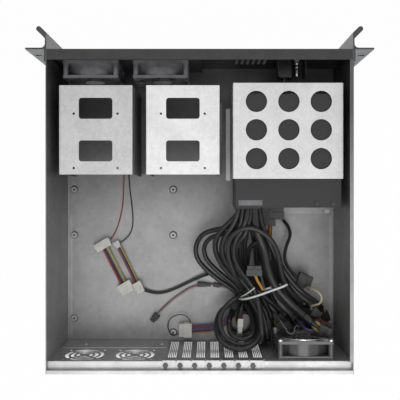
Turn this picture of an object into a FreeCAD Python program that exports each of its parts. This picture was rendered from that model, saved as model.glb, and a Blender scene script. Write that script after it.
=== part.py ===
import FreeCAD, Part
import math
import os

# A rack case, three units high, seen as it stands: +Z up, the front towards -Y, millimetres.
# The builders below measure depth behind the front panel's face; write() moves each piece
# to the common frame, whose origin is the middle of the whole case at floor level.

V = FreeCAD.Vector

# Case
SHEET = 1.2
CASE_WIDTH = 426.0
CASE_HEIGHT = 132.5
CASE_DEPTH = 450.0
HANDLE_REACH = 31.1
RACK_WIDTH = 482.6
BEND = 1.5
WALL_OUT = CASE_WIDTH / 2
WALL_IN = WALL_OUT - SHEET
FRONT_Y = -(CASE_DEPTH - HANDLE_REACH) / 2
TOP_FLANGE = 15.0
COVER_FLANGE = 4.0
RIB_X = 204.5
RIB_WIDTH = 4.0
RIB_HEIGHT = 0.5

# Handles and rack ears
EAR_FRONT = -1.4
EAR_BACK = 0.9
WEB_IN = 212.0
WEB_OUT = 214.0
EAR_FILLET = 6.0
GRIP_RADIUS = 3.6
GRIP_TIP = (222.4, -27.5)
LEG = 2.3
LEG_DEPTH = 18.0
RACK_HOLE_X = 232.55
RACK_HOLE_Z = (37.7, 94.85)
RACK_SLOT = 10.0
RACK_HOLE_R = 3.4

# Board bosses: the standard pattern of nine
BOSS_X = (201.4, 43.92, -80.54)
BOSS_ROWS = (193.77, 266.16)
BOSS_REAR = 421.1
BOSS_CORNER = 398.24
BOSS_R = 6.5
BOSS_TOP_R = 4.5
BOSS_HEIGHT = 3.5
BOSS_HOLE_R = 1.6

# Rear panel
REAR_WALL = 433.5
LEDGE_Z = 125.0
RISER = 444.6
SLOT_PITCH = 20.32
SLOT_COUNT = 7
SLOT_X = 39.6
COVER_THICK = 0.9
COVER_HALF = 9.2
TAB_FROM = -6.1
TAB_TO = 12.4
TAB_REAR = 443.0
TAB_SCREW = 8.1
SCREW_DEPTH = 439.8
PORT_X = (50.8, 209.55)
PORT_Z = (5.0, 49.45)
SMALL_VENT_X = (166.9, 93.9)
SMALL_VENT_Z = 91.5
SMALL_VENT_R = 28.0
SMALL_FAN_PITCH = 50.0

# Fans
FAN = 80.0
FAN_DEPTH = 25.0
FAN_HOLE_PITCH = 71.5
FAN_BORE_R = 38.0
FAN_FLANGE = 4.0
FAN_POST_R = 3.9
FAN_HUB_R = 16.5
FAN_SCREW_R = 2.15
SHAFT_R = 1.5
SHAFT_GAP = 0.05
BLADES = 7
FRONT_FAN_X = (156.0, 56.0)
FRONT_FAN_Z = 67.0
FRONT_FAN_DEPTH = 10.5
REAR_FAN_X = -149.8
REAR_FAN_Z = 77.0
WIRE = 1.8
RING_SIDES = 32

# Drive cages
CAGE_X = (146.8, 23.9)
CAGE_HALF = 52.1
CAGE_SHEET = 1.0
CAGE_TOP = 116.0
CAGE_DEPTH = (47.7, 173.3)
WINDOW = (47.3, 29.6)
WINDOW_R = 4.0
WINDOW_DEPTHS = (80.1, 140.1)
DRIVE_PITCH = (61.72, 76.6)
DRIVE_MID = 125.95
DRIVE_HOLE_R = 1.7

# Power supply
PSU_X = (-199.7, -49.7)
PSU_DEPTH = (60.0, 220.0)
PSU_Z = (31.0, 117.0)
PSU_SHEET = 1.0
PSU_FAN_X = -95.0
PSU_FAN_Z = 74.0
INLET_X = -168.0
INLET_Z = 60.0
SWITCH_Z = 90.0
PLATE_X = (-201.8, -46.4)
PLATE_DEPTH = (45.0, 179.4)
PLATE_TOP = 120.0
PLATE_HOLE_R = 15.0
PLATE_HOLE_X = (-79.4, -124.9, -170.3)
PLATE_HOLE_DEPTH = (71.0, 110.8, 151.2)
GROMMET_X = -69.5
GROMMET_Z = 86.5
GROMMET_HALF = (15.5, 12.5)
LEAD_NOTCH_X = (-135.0, -115.0)
SHELF_FOOT_REAR = 232.0
SHELF_SCREW_DEPTH = 227.5
SHELF_SCREW_X = (-110.0, -201.0)
COVER_SCREW_DEPTH = 214.5
COVER_SCREW_X = (-164.8, -187.3)
FOOT = 6.4

# Front controls
BUTTON_R = 5.0
BUTTON_GAP = 0.3
BUTTON_X = -142.0
PORTS_X = -124.0
CONTROL_Z = 77.0
CONTROL_DEPTH = 29.0

# Cables and leads: diameter and the corners of the route as (x, depth, height), each rounded off by an arc
CORDS = {
    # two drive cables: a wide turn to the left on the floor, then into the coil that leans on the rear wall
    "drive_cable_a": (6.5, [
        (-58.5, 213, 80), (-58.5, 228, 77), (-44.5, 250, 66), (-23.5, 254.5, 52), (-4.5, 260.5, 40),
        (7, 276.5, 31), (8, 297.5, 25), (-3.5, 316.5, 20), (-22.5, 336, 16), (-44.5, 353.5, 14),
        (-63.5, 370.5, 17), (-75, 384, 31), (-79, 396.5, 48), (-79, 408, 63), (-69, 414.5, 70.5),
        (-55, 414.5, 70.5), (-45, 408, 63), (-45, 396, 51.5), (-46.5, 386.5, 41.5),
    ]),
    "drive_cable_b": (6.0, [
        (-65.5, 213, 80), (-65.5, 232, 77), (-54, 255.5, 69), (-33.5, 261, 57), (-14.5, 267, 44),
        (-4.5, 281, 34), (-7, 300, 28), (-20, 317.5, 24), (-38, 335, 22), (-54.5, 352, 23),
        (-63.5, 368, 31), (-61, 382.5, 42),
    ]),
    # the graphics cables: one goes round the coil, the other straight back
    "graphics_cable_a": (6.5, [
        (-58.5, 213, 87.5), (-58, 223, 87.5), (-52.5, 233.5, 86), (-43, 243, 82), (-31.5, 254, 76),
        (-22.5, 267.5, 69), (-22, 286.5, 60), (-29.5, 307, 50), (-43, 326, 42), (-57.5, 345, 35),
        (-71.5, 362, 33), (-84.5, 378.5, 40), (-90.5, 394, 54), (-88.5, 410, 70), (-76.5, 422.5, 86),
        (-58, 427, 93), (-39, 423, 88), (-25.5, 412, 74), (-23.5, 396, 56), (-29.5, 384, 42.5),
        (-37, 376.5, 35),
    ]),
    "graphics_cable_b": (6.5, [
        (-65.5, 213, 87.5), (-65.5, 231, 87.5), (-52.5, 248, 84.5), (-39.5, 259, 78), (-31.5, 273.5, 70),
        (-31.5, 292, 61), (-41, 311, 52), (-55, 329, 44), (-70, 346, 37), (-83.5, 363, 31),
        (-94, 382, 28), (-100.5, 399, 26), (-103.5, 413, 24.5),
    ]),
    # the processor cables: the inner strands of the bundle
    "processor_cable_a": (6.5, [
        (-62, 213, 94.5), (-62, 233, 95), (-55.5, 254.5, 91), (-46, 265, 84), (-41, 280.5, 76),
        (-44, 299, 67), (-55, 316, 60), (-69.5, 332.5, 57), (-86, 347, 54), (-104, 362, 47),
        (-122, 378, 38), (-136, 392, 28.5), (-146, 402, 20.5),
    ]),
    "processor_cable_b": (7.0, [
        (-73, 213, 93.5), (-73, 234, 95.5), (-65.5, 260, 93), (-56, 270.5, 86), (-51, 286, 77),
        (-55.5, 303.5, 66), (-67.5, 320.5, 55), (-81.5, 338, 43), (-93, 356.5, 34), (-103, 375, 30),
        (-110, 391.5, 27.5), (-114, 409, 25.5),
    ]),
    # a strand that comes up from under the bundle, arches over and leaves to the right
    "loop_cable": (7.5, [
        (-73, 338, 14), (-72, 321, 24), (-72, 303, 38), (-72.5, 285, 53), (-82.5, 272.5, 62),
        (-98, 271.5, 66), (-110, 282, 66), (-112, 300, 63.5), (-113, 320, 60), (-116.5, 342.5, 54), (-127, 361, 48), (-142, 376.5, 40), (-158, 391.5, 29.5), (-170.5, 405.5, 14.5),
    ]),
    # the main board's cable, the thickest
    "main_cable": (11.0, [
        (-76, 213, 83), (-76, 235, 84), (-85.5, 252, 83.5), (-100, 263, 82), (-113, 279, 77),
        (-122, 298.5, 70), (-126.5, 320.5, 62), (-134.5, 341, 55), (-148, 359, 47), (-164, 373.5, 38),
        (-181, 387.5, 27),
    ]),
    # short leads to the plugs behind the power supply and on top of the bundle
    "plug_lead_rear": (4.0, [
        (-86.5, 307, 22), (-97.5, 293, 23), (-104.5, 277, 27), (-107, 262.5, 33), (-106.5, 249, 38),
    ]),
    "plug_lead_top": (4.0, [(-95, 343.5, 59.5), (-89.5, 336, 63), (-83.5, 327.5, 66), (-80, 318, 69)]),
    # the front panel's lead: down behind the panel, under the power supply, to the black plug
    "front_lead": (5.0, [
        (-124, 31.2, 77), (-124, 38, 77), (-124, 45, 74), (-124, 49.5, 69), (-124, 51.5, 62),
        (-123.5, 51.5, 53), (-124, 51, 43), (-124, 51, 32), (-124, 51.5, 22), (-124, 55, 13.5),
        (-124, 62, 8), (-124, 72, 6), (-124, 92, 5.5), (-123, 125, 5), (-125, 160, 5), (-124, 192, 5),
        (-122, 217, 6), (-128.5, 240.5, 10), (-138, 251, 14), (-141.5, 265, 18), (-133.5, 282, 22),
        (-129.5, 300.5, 26), (-137, 318.5, 28), (-153, 334, 30),
    ]),
    # the two leads of the front fans
    "fan_lead_red": (1.8, [
        (138, 35.5, 50), (135, 40, 40), (131, 43, 28), (128, 48, 14), (126, 60, 5), (124, 85, 2.5),
        (122, 120, 2.3), (121.5, 155, 2.5), (123, 188, 2.3), (124, 220, 2.5), (132, 253.5, 2.5),
        (141, 271, 4), (149, 279, 6),
    ]),
    "fan_lead_black": (1.8, [
        (130, 35.5, 48), (127.5, 40, 37), (124, 44, 25), (120.5, 51, 12), (118, 64, 4), (116.5, 90, 2.5),
        (114.5, 125, 2.3), (115, 160, 2.5), (113.5, 191, 2.3), (109, 223, 2.5), (107.5, 252, 2.5),
        (115, 270, 4), (129, 279.5, 6),
    ]),
    # the four-wire leads between the white plugs
    "adapter_leads_a": (6.0, [(155, 281.5, 8), (143, 300.5, 5.5), (129, 322.5, 5.5), (117, 342, 8)]),
    "adapter_leads_b": (5.0, [(129.5, 284.5, 8), (119.5, 301.5, 6), (105.5, 323.5, 6), (95.5, 342, 8)]),
    # leads that leave the bundle on the floor, to the left
    "drive_lead": (5.0, [
        (-11.5, 327.5, 9), (7.5, 334.5, 5.5), (31.5, 347, 4), (55.5, 357, 4), (75, 358.5, 5), (88, 351.5, 8),
    ]),
    "sensor_lead": (3.4, [
        (-40, 349, 6), (-24, 345, 5), (-3.5, 344, 4.5), (17, 350, 3.5), (38, 363, 3.7), (58.5, 380.5, 4),
        (71, 394.5, 5),
    ]),
    "rear_leads": (8.0, [
        (-51, 389.5, 14), (-41.5, 401.5, 11), (-29, 410, 8), (-13, 414, 6), (2, 415, 6.3), (17, 415.5, 8),
    ]),
}
# Plugs: the middle of the back face, the way the plug points, and its width, length and height
WHITE_PLUGS = [
    ((158.0, 275.5, 8.0), (-0.5, 0.86, 0.0), (26.0, 12.0, 11.0)),
    ((135.0, 276.0, 7.0), (-0.5, 0.86, 0.0), (9.0, 11.0, 8.0)),
    ((118.0, 340.0, 8.0), (-0.5, 0.86, 0.0), (23.0, 18.0, 12.0)),
    ((95.0, 340.0, 8.0), (-0.5, 0.86, 0.0), (14.0, 18.0, 12.0)),
    ((14.0, 415.5, 9.0), (1.0, 0.0, 0.0), (22.0, 20.0, 14.0)),
    ((-61.3, 380.5, 40.5), (0.14, 0.79, 0.6), (9.0, 24.0, 18.0)),
]
DARK_PLUGS = [
    ((-107.0, 252.0, 38.0), (0.0, -1.0, 0.0), (24.0, 26.0, 14.0)),
    ((-80.0, 322.0, 69.5), (0.0, -1.0, 0.0), (22.0, 16.0, 9.0)),
    ((-150.0, 332.0, 30.0), (-0.95, 0.3, 0.0), (22.0, 22.0, 14.0)),
    ((-179.5, 386.0, 26.0), (-0.8, 0.6, -0.1), (18.0, 18.0, 12.0)),
    ((-169.0, 404.0, 13.5), (-0.6, 0.75, -0.1), (12.0, 16.0, 9.0)),
    ((-144.5, 400.5, 22.0), (-0.6, 0.75, -0.3), (10.0, 14.0, 9.0)),
    ((-46.2, 388.5, 44.0), (-0.28, -0.62, -0.72), (11.0, 17.0, 8.0)),
    ((-35.5, 378.0, 36.5), (-0.6, -0.55, -0.5), (12.0, 16.0, 8.0)),
    ((-103.0, 411.0, 24.7), (-0.2, 0.97, -0.1), (8.5, 16.0, 9.0)),
    ((-113.5, 407.0, 25.7), (-0.22, 0.97, -0.1), (8.5, 16.0, 9.0)),
    ((5.5, 344.3, 5.5), (-1.0, 0.03, 0.0), (7.0, 21.0, 6.0)),
    ((-20.0, 344.8, 5.2), (-1.0, 0.15, 0.0), (6.0, 16.0, 4.5)),
    ((68.5, 392.0, 5.8), (0.66, 0.75, 0.0), (10.0, 14.0, 8.0)),
]
# The cable tie round the bundle: middle, direction of its long axis in plan, half axes, tilt, band
TIE_AT = (-95.0, 348.6, 38.5)
TIE_WAY = (-0.925, -0.381, 0.0)
TIE_AXES = (55.0, 21.2)
TIE_TILT = 28.2
TIE_BAND = (4.5, 1.2)


def box(x, depth, z):
    """A block between two corners, each argument a low and a high value."""
    corner = V(min(x), min(depth), min(z))
    return Part.makeBox(abs(x[1] - x[0]), abs(depth[1] - depth[0]), abs(z[1] - z[0]), corner)


def rod(radius, length, at, along):
    return Part.makeCylinder(radius, length, V(*at), V(*along))


def joined(solids):
    """One solid from pieces that touch, with the seams between flush faces removed."""
    return solids[0].multiFuse(solids[1:]).removeSplitter()


def without(shape, cutters):
    return shape.cut(Part.makeCompound(cutters))


def filleted(shape, radius, chosen):
    """Rounds the straight edges whose middle point and direction pass the test."""
    edges = []
    for edge in shape.Edges:
        ends = edge.Vertexes
        if len(ends) == 2 and chosen(edge.CenterOfMass, ends[1].Point.sub(ends[0].Point).normalize()):
            edges.append(edge)
    return shape.makeFillet(radius, edges)


def hexagon(across, height, at, along):
    """A hexagonal prism, for screw heads."""
    corner = across / math.sqrt(3)
    ring = [V(corner * math.cos(k * math.pi / 3), corner * math.sin(k * math.pi / 3), 0) for k in range(7)]
    prism = Part.Face(Part.makePolygon(ring)).extrude(V(0, 0, height))
    prism.Placement = FreeCAD.Placement(V(*at), FreeCAD.Rotation(V(0, 0, 1), V(*along)))
    return prism


def screw(at, along, shank=3.5, head=2.0, across=6.4):
    """A hexagon-head screw: the head stands on the point given, the shank goes the other way."""
    back = V(*at).sub(V(*along).multiply(shank))
    return joined([hexagon(across, head, at, along), rod(1.5, shank + head / 2, tuple(back), along)])


def rounded_window(size, radius, x, depth, z):
    """A cutter for a window with round corners in a level plate."""
    half_x, half_y = size[0] / 2, size[1] / 2
    block = box((x - half_x, x + half_x), (depth - half_y, depth + half_y), z)
    return filleted(block, radius, lambda middle, way: abs(way.z) > 0.9)


def chassis_tub():
    """Floor and side walls folded from one sheet, with the embossed board bosses."""
    outside = box((-WALL_OUT, WALL_OUT), (SHEET, CASE_DEPTH), (0, CASE_HEIGHT))
    inside = box((-WALL_IN, WALL_IN), (0, CASE_DEPTH + 1), (SHEET, CASE_HEIGHT + 1))
    outside = filleted(outside, BEND + SHEET, lambda middle, way: abs(way.y) > 0.9 and middle.z < 1)
    inside = filleted(inside, BEND, lambda middle, way: abs(way.y) > 0.9 and middle.z < 2)
    tub = outside.cut(inside)
    flange = box(
        (-WALL_IN, -WALL_IN + COVER_FLANGE), (TOP_FLANGE, REAR_WALL), (CASE_HEIGHT - SHEET, CASE_HEIGHT)
    )
    ribs = [
        box((side * RIB_X, side * (RIB_X + RIB_WIDTH)), (235, REAR_WALL - 4), (SHEET, SHEET + RIB_HEIGHT))
        for side in (-1, 1)
    ]
    bosses = [
        Part.makeCone(BOSS_R, BOSS_TOP_R, BOSS_HEIGHT, V(x, depth, SHEET)) for x, depth in boss_places()
    ]
    places = boss_places() + [(x, SHELF_SCREW_DEPTH) for x in SHELF_SCREW_X]
    holes = [rod(BOSS_HOLE_R, 10, (x, depth, -1), (0, 0, 1)) for x, depth in places]
    return without(joined([tub, flange] + ribs + bosses), holes)


def boss_places():
    places = [(x, depth) for x in BOSS_X for depth in BOSS_ROWS]
    return places + [(BOSS_X[0], BOSS_CORNER), (BOSS_X[1], BOSS_REAR), (BOSS_X[2], BOSS_REAR)]


def slot_centres():
    return [SLOT_X - SLOT_PITCH * k for k in range(SLOT_COUNT)]


def stamped_grille(x, z, radius, rings, bar):
    """Cutters for a stamped vent: rings of slots parted by four bars that cross at 45 degrees."""
    step = radius / (rings + 0.5)
    bars = []
    for angle in (45, 135):
        strip = box((-radius - 1, radius + 1), (-4, 4), (-bar / 2, bar / 2))
        strip.rotate(V(0, 0, 0), V(0, 1, 0), angle)
        bars.append(strip)
    cutters = []
    for k in range(rings):
        outer = radius - k * step
        ring = rod(outer, 4, (0, -2, 0), (0, 1, 0))
        ring = ring.cut(rod(outer - step * 0.62, 6, (0, -3, 0), (0, 1, 0)))
        cutters.append(without(ring, bars))
    grille = Part.makeCompound(cutters)
    grille.translate(V(x, REAR_WALL + SHEET / 2, z))
    return grille


def square_holes(x, z, pitch, radius, depth):
    """Cutters for four screw holes round a fan."""
    half = pitch / 2
    return [
        rod(radius, 6, (x + sx * half, depth - 3, z + sz * half), (0, 1, 0))
        for sx in (-1, 1)
        for sz in (-1, 1)
    ]


def rear_panel():
    """The set-back rear wall with its ledge, riser and rim, folded from one sheet."""
    wall = box((-WALL_IN, WALL_IN), (REAR_WALL, REAR_WALL + SHEET), (SHEET, LEDGE_Z))
    ledge = box((-WALL_IN, WALL_IN), (REAR_WALL, RISER + SHEET), (LEDGE_Z - SHEET, LEDGE_Z))
    riser = box((-WALL_IN, WALL_IN), (RISER, RISER + SHEET), (LEDGE_Z - SHEET, CASE_HEIGHT))
    rim = box((-WALL_IN, WALL_IN), (RISER, CASE_DEPTH), (CASE_HEIGHT - SHEET, CASE_HEIGHT))
    wall = filleted(wall, BEND, lambda middle, way: abs(way.y) > 0.9 and middle.z < 2)
    panel = joined([wall, ledge, riser, rim])
    panel = filleted(
        panel,
        1.0,
        lambda middle, way: abs(way.x) > 0.9
        and (
            (middle.y < REAR_WALL + 0.1 and middle.z > LEDGE_Z - 0.1)
            or (middle.y < RISER + 0.1 and middle.z > CASE_HEIGHT - 0.1)
        ),
    )
    cutters = [box(PORT_X, (REAR_WALL - 2, REAR_WALL + 4), PORT_Z)]
    for x in slot_centres():
        cutters.append(box((x - 6.5, x + 6.5), (REAR_WALL - 2, REAR_WALL + 4), (14, 114)))
        cutters.append(rod(1.6, 6, (x + TAB_SCREW, SCREW_DEPTH, LEDGE_Z - 4), (0, 0, 1)))
    for x in SMALL_VENT_X:
        cutters.append(stamped_grille(x, SMALL_VENT_Z, SMALL_VENT_R, 3, 3.0))
        cutters += square_holes(x, SMALL_VENT_Z, SMALL_FAN_PITCH, 2.2, REAR_WALL)
    cutters.append(stamped_grille(REAR_FAN_X, REAR_FAN_Z, FAN_BORE_R - 0.5, 4, 4.0))
    cutters += square_holes(REAR_FAN_X, REAR_FAN_Z, FAN_HOLE_PITCH, FAN_SCREW_R, REAR_WALL)
    cutters.append(rod(2.0, 6, (-93.7, 438.1, LEDGE_Z - 4), (0, 0, 1)))
    cutters.append(rod(1.2, 6, (-155.0, 441.0, LEDGE_Z - 4), (0, 0, 1)))
    return without(panel, cutters)


def port_cover():
    """The blank plate over the opening for a board's own connectors."""
    plate = box((49.4, 211.2), (REAR_WALL - 1, REAR_WALL), (3.4, 52.0))
    plate = filleted(plate, 2.0, lambda middle, way: abs(way.y) > 0.9)
    return without(plate, [rod(2.0, 6, (x, REAR_WALL - 3, 33.0), (0, 1, 0)) for x in (176.0, 59.5)])


def slot_cover(x):
    """A vented slot cover: an upright strip, a tongue below and a tab folded over the ledge."""
    front = REAR_WALL - COVER_THICK
    shoulder = LEDGE_Z - 4
    strip = box((x - COVER_HALF, x + COVER_HALF), (front, REAR_WALL), (8, shoulder))
    neck = box((x + TAB_FROM, x + COVER_HALF), (front, REAR_WALL), (shoulder, LEDGE_Z + COVER_THICK))
    tongue = box((x - 5, x + 5), (front, REAR_WALL), (SHEET + 0.6, 8))
    tab = box((x + TAB_FROM, x + TAB_TO), (front, TAB_REAR), (LEDGE_Z, LEDGE_Z + COVER_THICK))
    cover = joined([strip, neck, tongue, tab])
    vents = [
        box((x + k * 2.6 - 0.75, x + k * 2.6 + 0.75), (front - 1, REAR_WALL + 1), (18, 110))
        for k in (-2, -1, 0, 1, 2)
    ]
    hole = rod(1.6, 4, (x + TAB_SCREW, SCREW_DEPTH, LEDGE_Z - 1), (0, 0, 1))
    return without(cover, vents + [hole])


def front_panel():
    """The steel front plate with its top and side flanges and its vents."""
    plate = box((-WALL_OUT, WALL_OUT), (0, SHEET), (0, CASE_HEIGHT))
    top = box((-WALL_IN, WALL_IN), (0, TOP_FLANGE), (CASE_HEIGHT - SHEET, CASE_HEIGHT))
    sides = [
        box((side * (WALL_IN - SHEET), side * WALL_IN), (0, 12), (6, CASE_HEIGHT)) for side in (-1, 1)
    ]
    panel = joined([plate, top] + sides)
    panel = filleted(
        panel, 1.0, lambda middle, way: abs(way.x) > 0.9 and middle.y < 0.1 and middle.z > CASE_HEIGHT - 0.1
    )
    cutters = []
    for x, count in ((FRONT_FAN_X[0], 9), (FRONT_FAN_X[1], 9), (-76.0, 6)):
        for k in range(count):
            middle = x + (k - (count - 1) / 2) * 8.4
            cutters.append(box((middle - 2.2, middle + 2.2), (-1, 3), (36, 98)))
    cutters.append(rod(BUTTON_R + BUTTON_GAP, 6, (BUTTON_X, -2, CONTROL_Z), (0, 1, 0)))
    cutters.append(box((PORTS_X - 7.5, PORTS_X + 7.5), (-1, 3), (CONTROL_Z - 8, CONTROL_Z + 8)))
    return without(panel, cutters)


def handle(side):
    """A rack handle drawn as one extrusion: leg, ear, web and slanted grip, along the full height."""
    slant = V(GRIP_TIP[0] - 213.5, GRIP_TIP[1] + 19.0, 0).normalize()
    across = V(-slant.y, slant.x, 0).multiply(GRIP_RADIUS)
    tip = V(GRIP_TIP[0], GRIP_TIP[1], 0)
    front_tip = tip.sub(across)
    back_tip = tip.add(across)
    rise = slant.y / slant.x
    front_root = V(WEB_IN, front_tip.y + (WEB_IN - front_tip.x) * rise, 0)
    back_root = V(WEB_OUT, back_tip.y + (WEB_OUT - back_tip.x) * rise, 0)
    nose = tip.add(V(slant).multiply(GRIP_RADIUS))
    fillet_mid = EAR_FILLET * (1 - math.sqrt(0.5))
    inner = WALL_OUT
    leg_out = WALL_OUT + LEG
    ear_tip = RACK_WIDTH / 2
    lines = [
        (V(WEB_IN, 0, 0), front_root),
        (front_root, front_tip),
        (back_tip, back_root),
        (back_root, V(WEB_OUT, EAR_FRONT - EAR_FILLET, 0)),
        (V(WEB_OUT + EAR_FILLET, EAR_FRONT, 0), V(ear_tip - 1, EAR_FRONT, 0)),
        (V(ear_tip, EAR_FRONT + 1, 0), V(ear_tip, EAR_BACK, 0)),
        (V(ear_tip, EAR_BACK, 0), V(leg_out, EAR_BACK, 0)),
        (V(leg_out, EAR_BACK, 0), V(leg_out, LEG_DEPTH, 0)),
        (V(leg_out, LEG_DEPTH, 0), V(inner, LEG_DEPTH, 0)),
        (V(inner, LEG_DEPTH, 0), V(inner, 0, 0)),
        (V(inner, 0, 0), V(WEB_IN, 0, 0)),
    ]
    edges = [Part.LineSegment(a, b).toShape() for a, b in lines]
    edges.append(Part.Arc(front_tip, nose, back_tip).toShape())
    corner = V(WEB_OUT + fillet_mid, EAR_FRONT - fillet_mid, 0)
    edges.append(
        Part.Arc(
            V(WEB_OUT, EAR_FRONT - EAR_FILLET, 0), corner, V(WEB_OUT + EAR_FILLET, EAR_FRONT, 0)
        ).toShape()
    )
    edge_mid = 1 - math.sqrt(0.5)
    edges.append(
        Part.Arc(
            V(ear_tip - 1, EAR_FRONT, 0),
            V(ear_tip - edge_mid, EAR_FRONT + edge_mid, 0),
            V(ear_tip, EAR_FRONT + 1, 0),
        ).toShape()
    )
    outline = Part.Wire(Part.__sortEdges__(edges))
    profile = Part.Face(outline).extrude(V(0, 0, CASE_HEIGHT))
    slots = []
    for z in RACK_HOLE_Z:
        half = RACK_SLOT / 2 - RACK_HOLE_R
        slots.append(box((RACK_HOLE_X - half, RACK_HOLE_X + half), (-3, 3), (z - RACK_HOLE_R, z + RACK_HOLE_R)))
        for end in (-half, half):
            slots.append(rod(RACK_HOLE_R, 6, (RACK_HOLE_X + end, -3, z), (0, 1, 0)))
    profile = without(profile, [joined(slots[:3]), joined(slots[3:])])
    return profile if side > 0 else profile.mirror(V(0, 0, 0), V(1, 0, 0))


def duct_block(half, corner_r, depth):
    """One square flange of a fan frame, with round corners."""
    block = box((-half, half), depth, (-half, half))
    return filleted(block, corner_r, lambda middle, way: abs(way.y) > 0.9)


def spokes(length, width, depth, angles):
    bars = []
    for angle in angles:
        bar = box((-width / 2, width / 2), depth, (0, length))
        bar.rotate(V(0, 0, 0), V(0, 1, 0), angle)
        bars.append(bar)
    return bars


def fan_frame(x, depth, z):
    """A fan frame blowing towards +Y: two flanges, a round duct, corner posts, and a motor plate on arms."""
    half = FAN / 2
    pitch = FAN_HOLE_PITCH / 2
    back = FAN_DEPTH - FAN_FLANGE
    flanges = [duct_block(half, 3.0, (0, FAN_FLANGE)), duct_block(half, 3.0, (back, FAN_DEPTH))]
    duct = rod(FAN_BORE_R + 1.2, FAN_DEPTH, (0, 0, 0), (0, 1, 0))
    corners = [(sx * pitch, sz * pitch) for sx in (-1, 1) for sz in (-1, 1)]
    posts = [rod(FAN_POST_R, FAN_DEPTH, (cx, 0, cz), (0, 1, 0)) for cx, cz in corners]
    holes = [rod(FAN_SCREW_R, FAN_DEPTH + 2, (cx, -1, cz), (0, 1, 0)) for cx, cz in corners]
    bore = rod(FAN_BORE_R, FAN_DEPTH + 2, (0, -1, 0), (0, 1, 0))
    frame = without(joined(flanges + [duct] + posts), [bore] + holes)
    motor = rod(FAN_HUB_R - 1.5, 4.0, (0, back, 0), (0, 1, 0))
    arms = spokes(FAN_BORE_R + 0.6, 3.6, (FAN_DEPTH - 3.2, FAN_DEPTH), (20, 110, 200, 290))
    frame = joined([frame, motor] + arms)
    frame = frame.cut(rod(SHAFT_R + SHAFT_GAP, 3.0, (0, back - 0.1, 0), (0, 1, 0)))
    frame.translate(V(x, depth, z))
    return frame


def blade_section(x, chord, lead, trail, camber):
    """A thin cambered section across one blade, at a distance x out from the shaft."""
    thick = 1.3
    mid = (lead + trail) / 2
    upper = [(lead, -chord), (mid + camber, 0), (trail, chord)]
    lower = [(trail + thick, chord - 0.4), (mid + camber + thick, -0.4), (lead + thick, -chord - 0.4)]
    return [V(x, y, z) for y, z in upper + lower]


def flat_face(points):
    return Part.Face(Part.makePolygon(points + [points[0]]))


def faceted_loft(sections):
    """A closed solid of flat triangles between matching sections, which keeps a twisted blade light."""
    faces = [flat_face(sections[0]), flat_face(sections[-1])]
    for inner, outer in zip(sections, sections[1:]):
        for k in range(len(inner)):
            after = (k + 1) % len(inner)
            faces.append(flat_face([inner[k], inner[after], outer[after]]))
            faces.append(flat_face([inner[k], outer[after], outer[k]]))
    return Part.Solid(Part.Shell(faces))


def fan_impeller(x, depth, z):
    """A hub with a rounded nose, a stub shaft and twisted blades lofted from root to tip."""
    hub = rod(FAN_HUB_R, 16.5, (0, 3.0, 0), (0, 1, 0))
    nose = Part.makeCone(FAN_HUB_R - 1.5, FAN_HUB_R, 1.5, V(0, 1.5, 0), V(0, 1, 0))
    shaft = rod(SHAFT_R, 4.0, (0, 19.0, 0), (0, 1, 0))
    blade = faceted_loft(
        [
            blade_section(14.5, 6.0, 4.0, 16.5, -1.5),
            blade_section(25.0, 8.8, 5.0, 15.0, -1.4),
            blade_section(34.6, 11.0, 6.0, 13.5, -1.2),
        ]
    )
    blades = []
    for k in range(BLADES):
        turned = blade.copy()
        turned.rotate(V(0, 0, 0), V(0, 1, 0), 360.0 * k / BLADES)
        blades.append(turned)
    impeller = joined([hub, nose, shaft] + blades)
    impeller.translate(V(x, depth, z))
    return impeller


def wire_ring(radius):
    """A ring of guard wire, bent as a many-sided polygon about +Y."""
    rims = []
    for size in (radius + WIRE / 2, radius - WIRE / 2):
        turns = [2 * math.pi * k / RING_SIDES for k in range(RING_SIDES)]
        rims.append(flat_face([V(size * math.cos(t), 0, size * math.sin(t)) for t in turns]))
    return rims[0].cut(rims[1]).extrude(V(0, WIRE, 0))


def wire_guard(x, depth, z):
    """A fan guard: rings of wire on two crossing wires that end in eyes at the screw holes."""
    pitch = FAN_HOLE_PITCH / 2
    cross = math.hypot(pitch, pitch)
    rings = [wire_ring(radius) for radius in (12.0, 20.0, 28.0, 36.0)]
    wires = spokes(cross, WIRE, (0, WIRE), (45, 135, 225, 315))
    corners = [(sx * pitch, sz * pitch) for sx in (-1, 1) for sz in (-1, 1)]
    eyes = [rod(4.0, WIRE, (cx, 0, cz), (0, 1, 0)) for cx, cz in corners]
    holes = [rod(FAN_SCREW_R, 6, (cx, -2, cz), (0, 1, 0)) for cx, cz in corners]
    guard = without(joined(rings + wires + eyes), holes)
    guard.translate(V(x, depth - WIRE, z))
    return guard


def fan_bracket():
    """The plate that carries both front fans, with flanges that reach forward to the front panel."""
    low, high = FRONT_FAN_Z - 46.0, FRONT_FAN_Z + 46.0
    plate = box((-2, 204), (FRONT_FAN_DEPTH - SHEET, FRONT_FAN_DEPTH), (low, high))
    flanges = [
        box((-2, 204), (SHEET, FRONT_FAN_DEPTH), (edge - SHEET / 2, edge + SHEET / 2)) for edge in (low, high)
    ]
    cutters = []
    for x in FRONT_FAN_X:
        cutters.append(rod(FAN_BORE_R, 6, (x, FRONT_FAN_DEPTH - 3, FRONT_FAN_Z), (0, 1, 0)))
        cutters += square_holes(x, FRONT_FAN_Z, FAN_HOLE_PITCH, FAN_SCREW_R, FRONT_FAN_DEPTH)
    return without(joined([plate] + flanges), cutters)


def foot(x, depth, sheet):
    """A foot flange on the floor, its far ends rounded."""
    block = box(x, depth, (SHEET, SHEET + sheet))
    return filleted(block, 2.5, lambda middle, way: abs(way.z) > 0.9)


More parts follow.
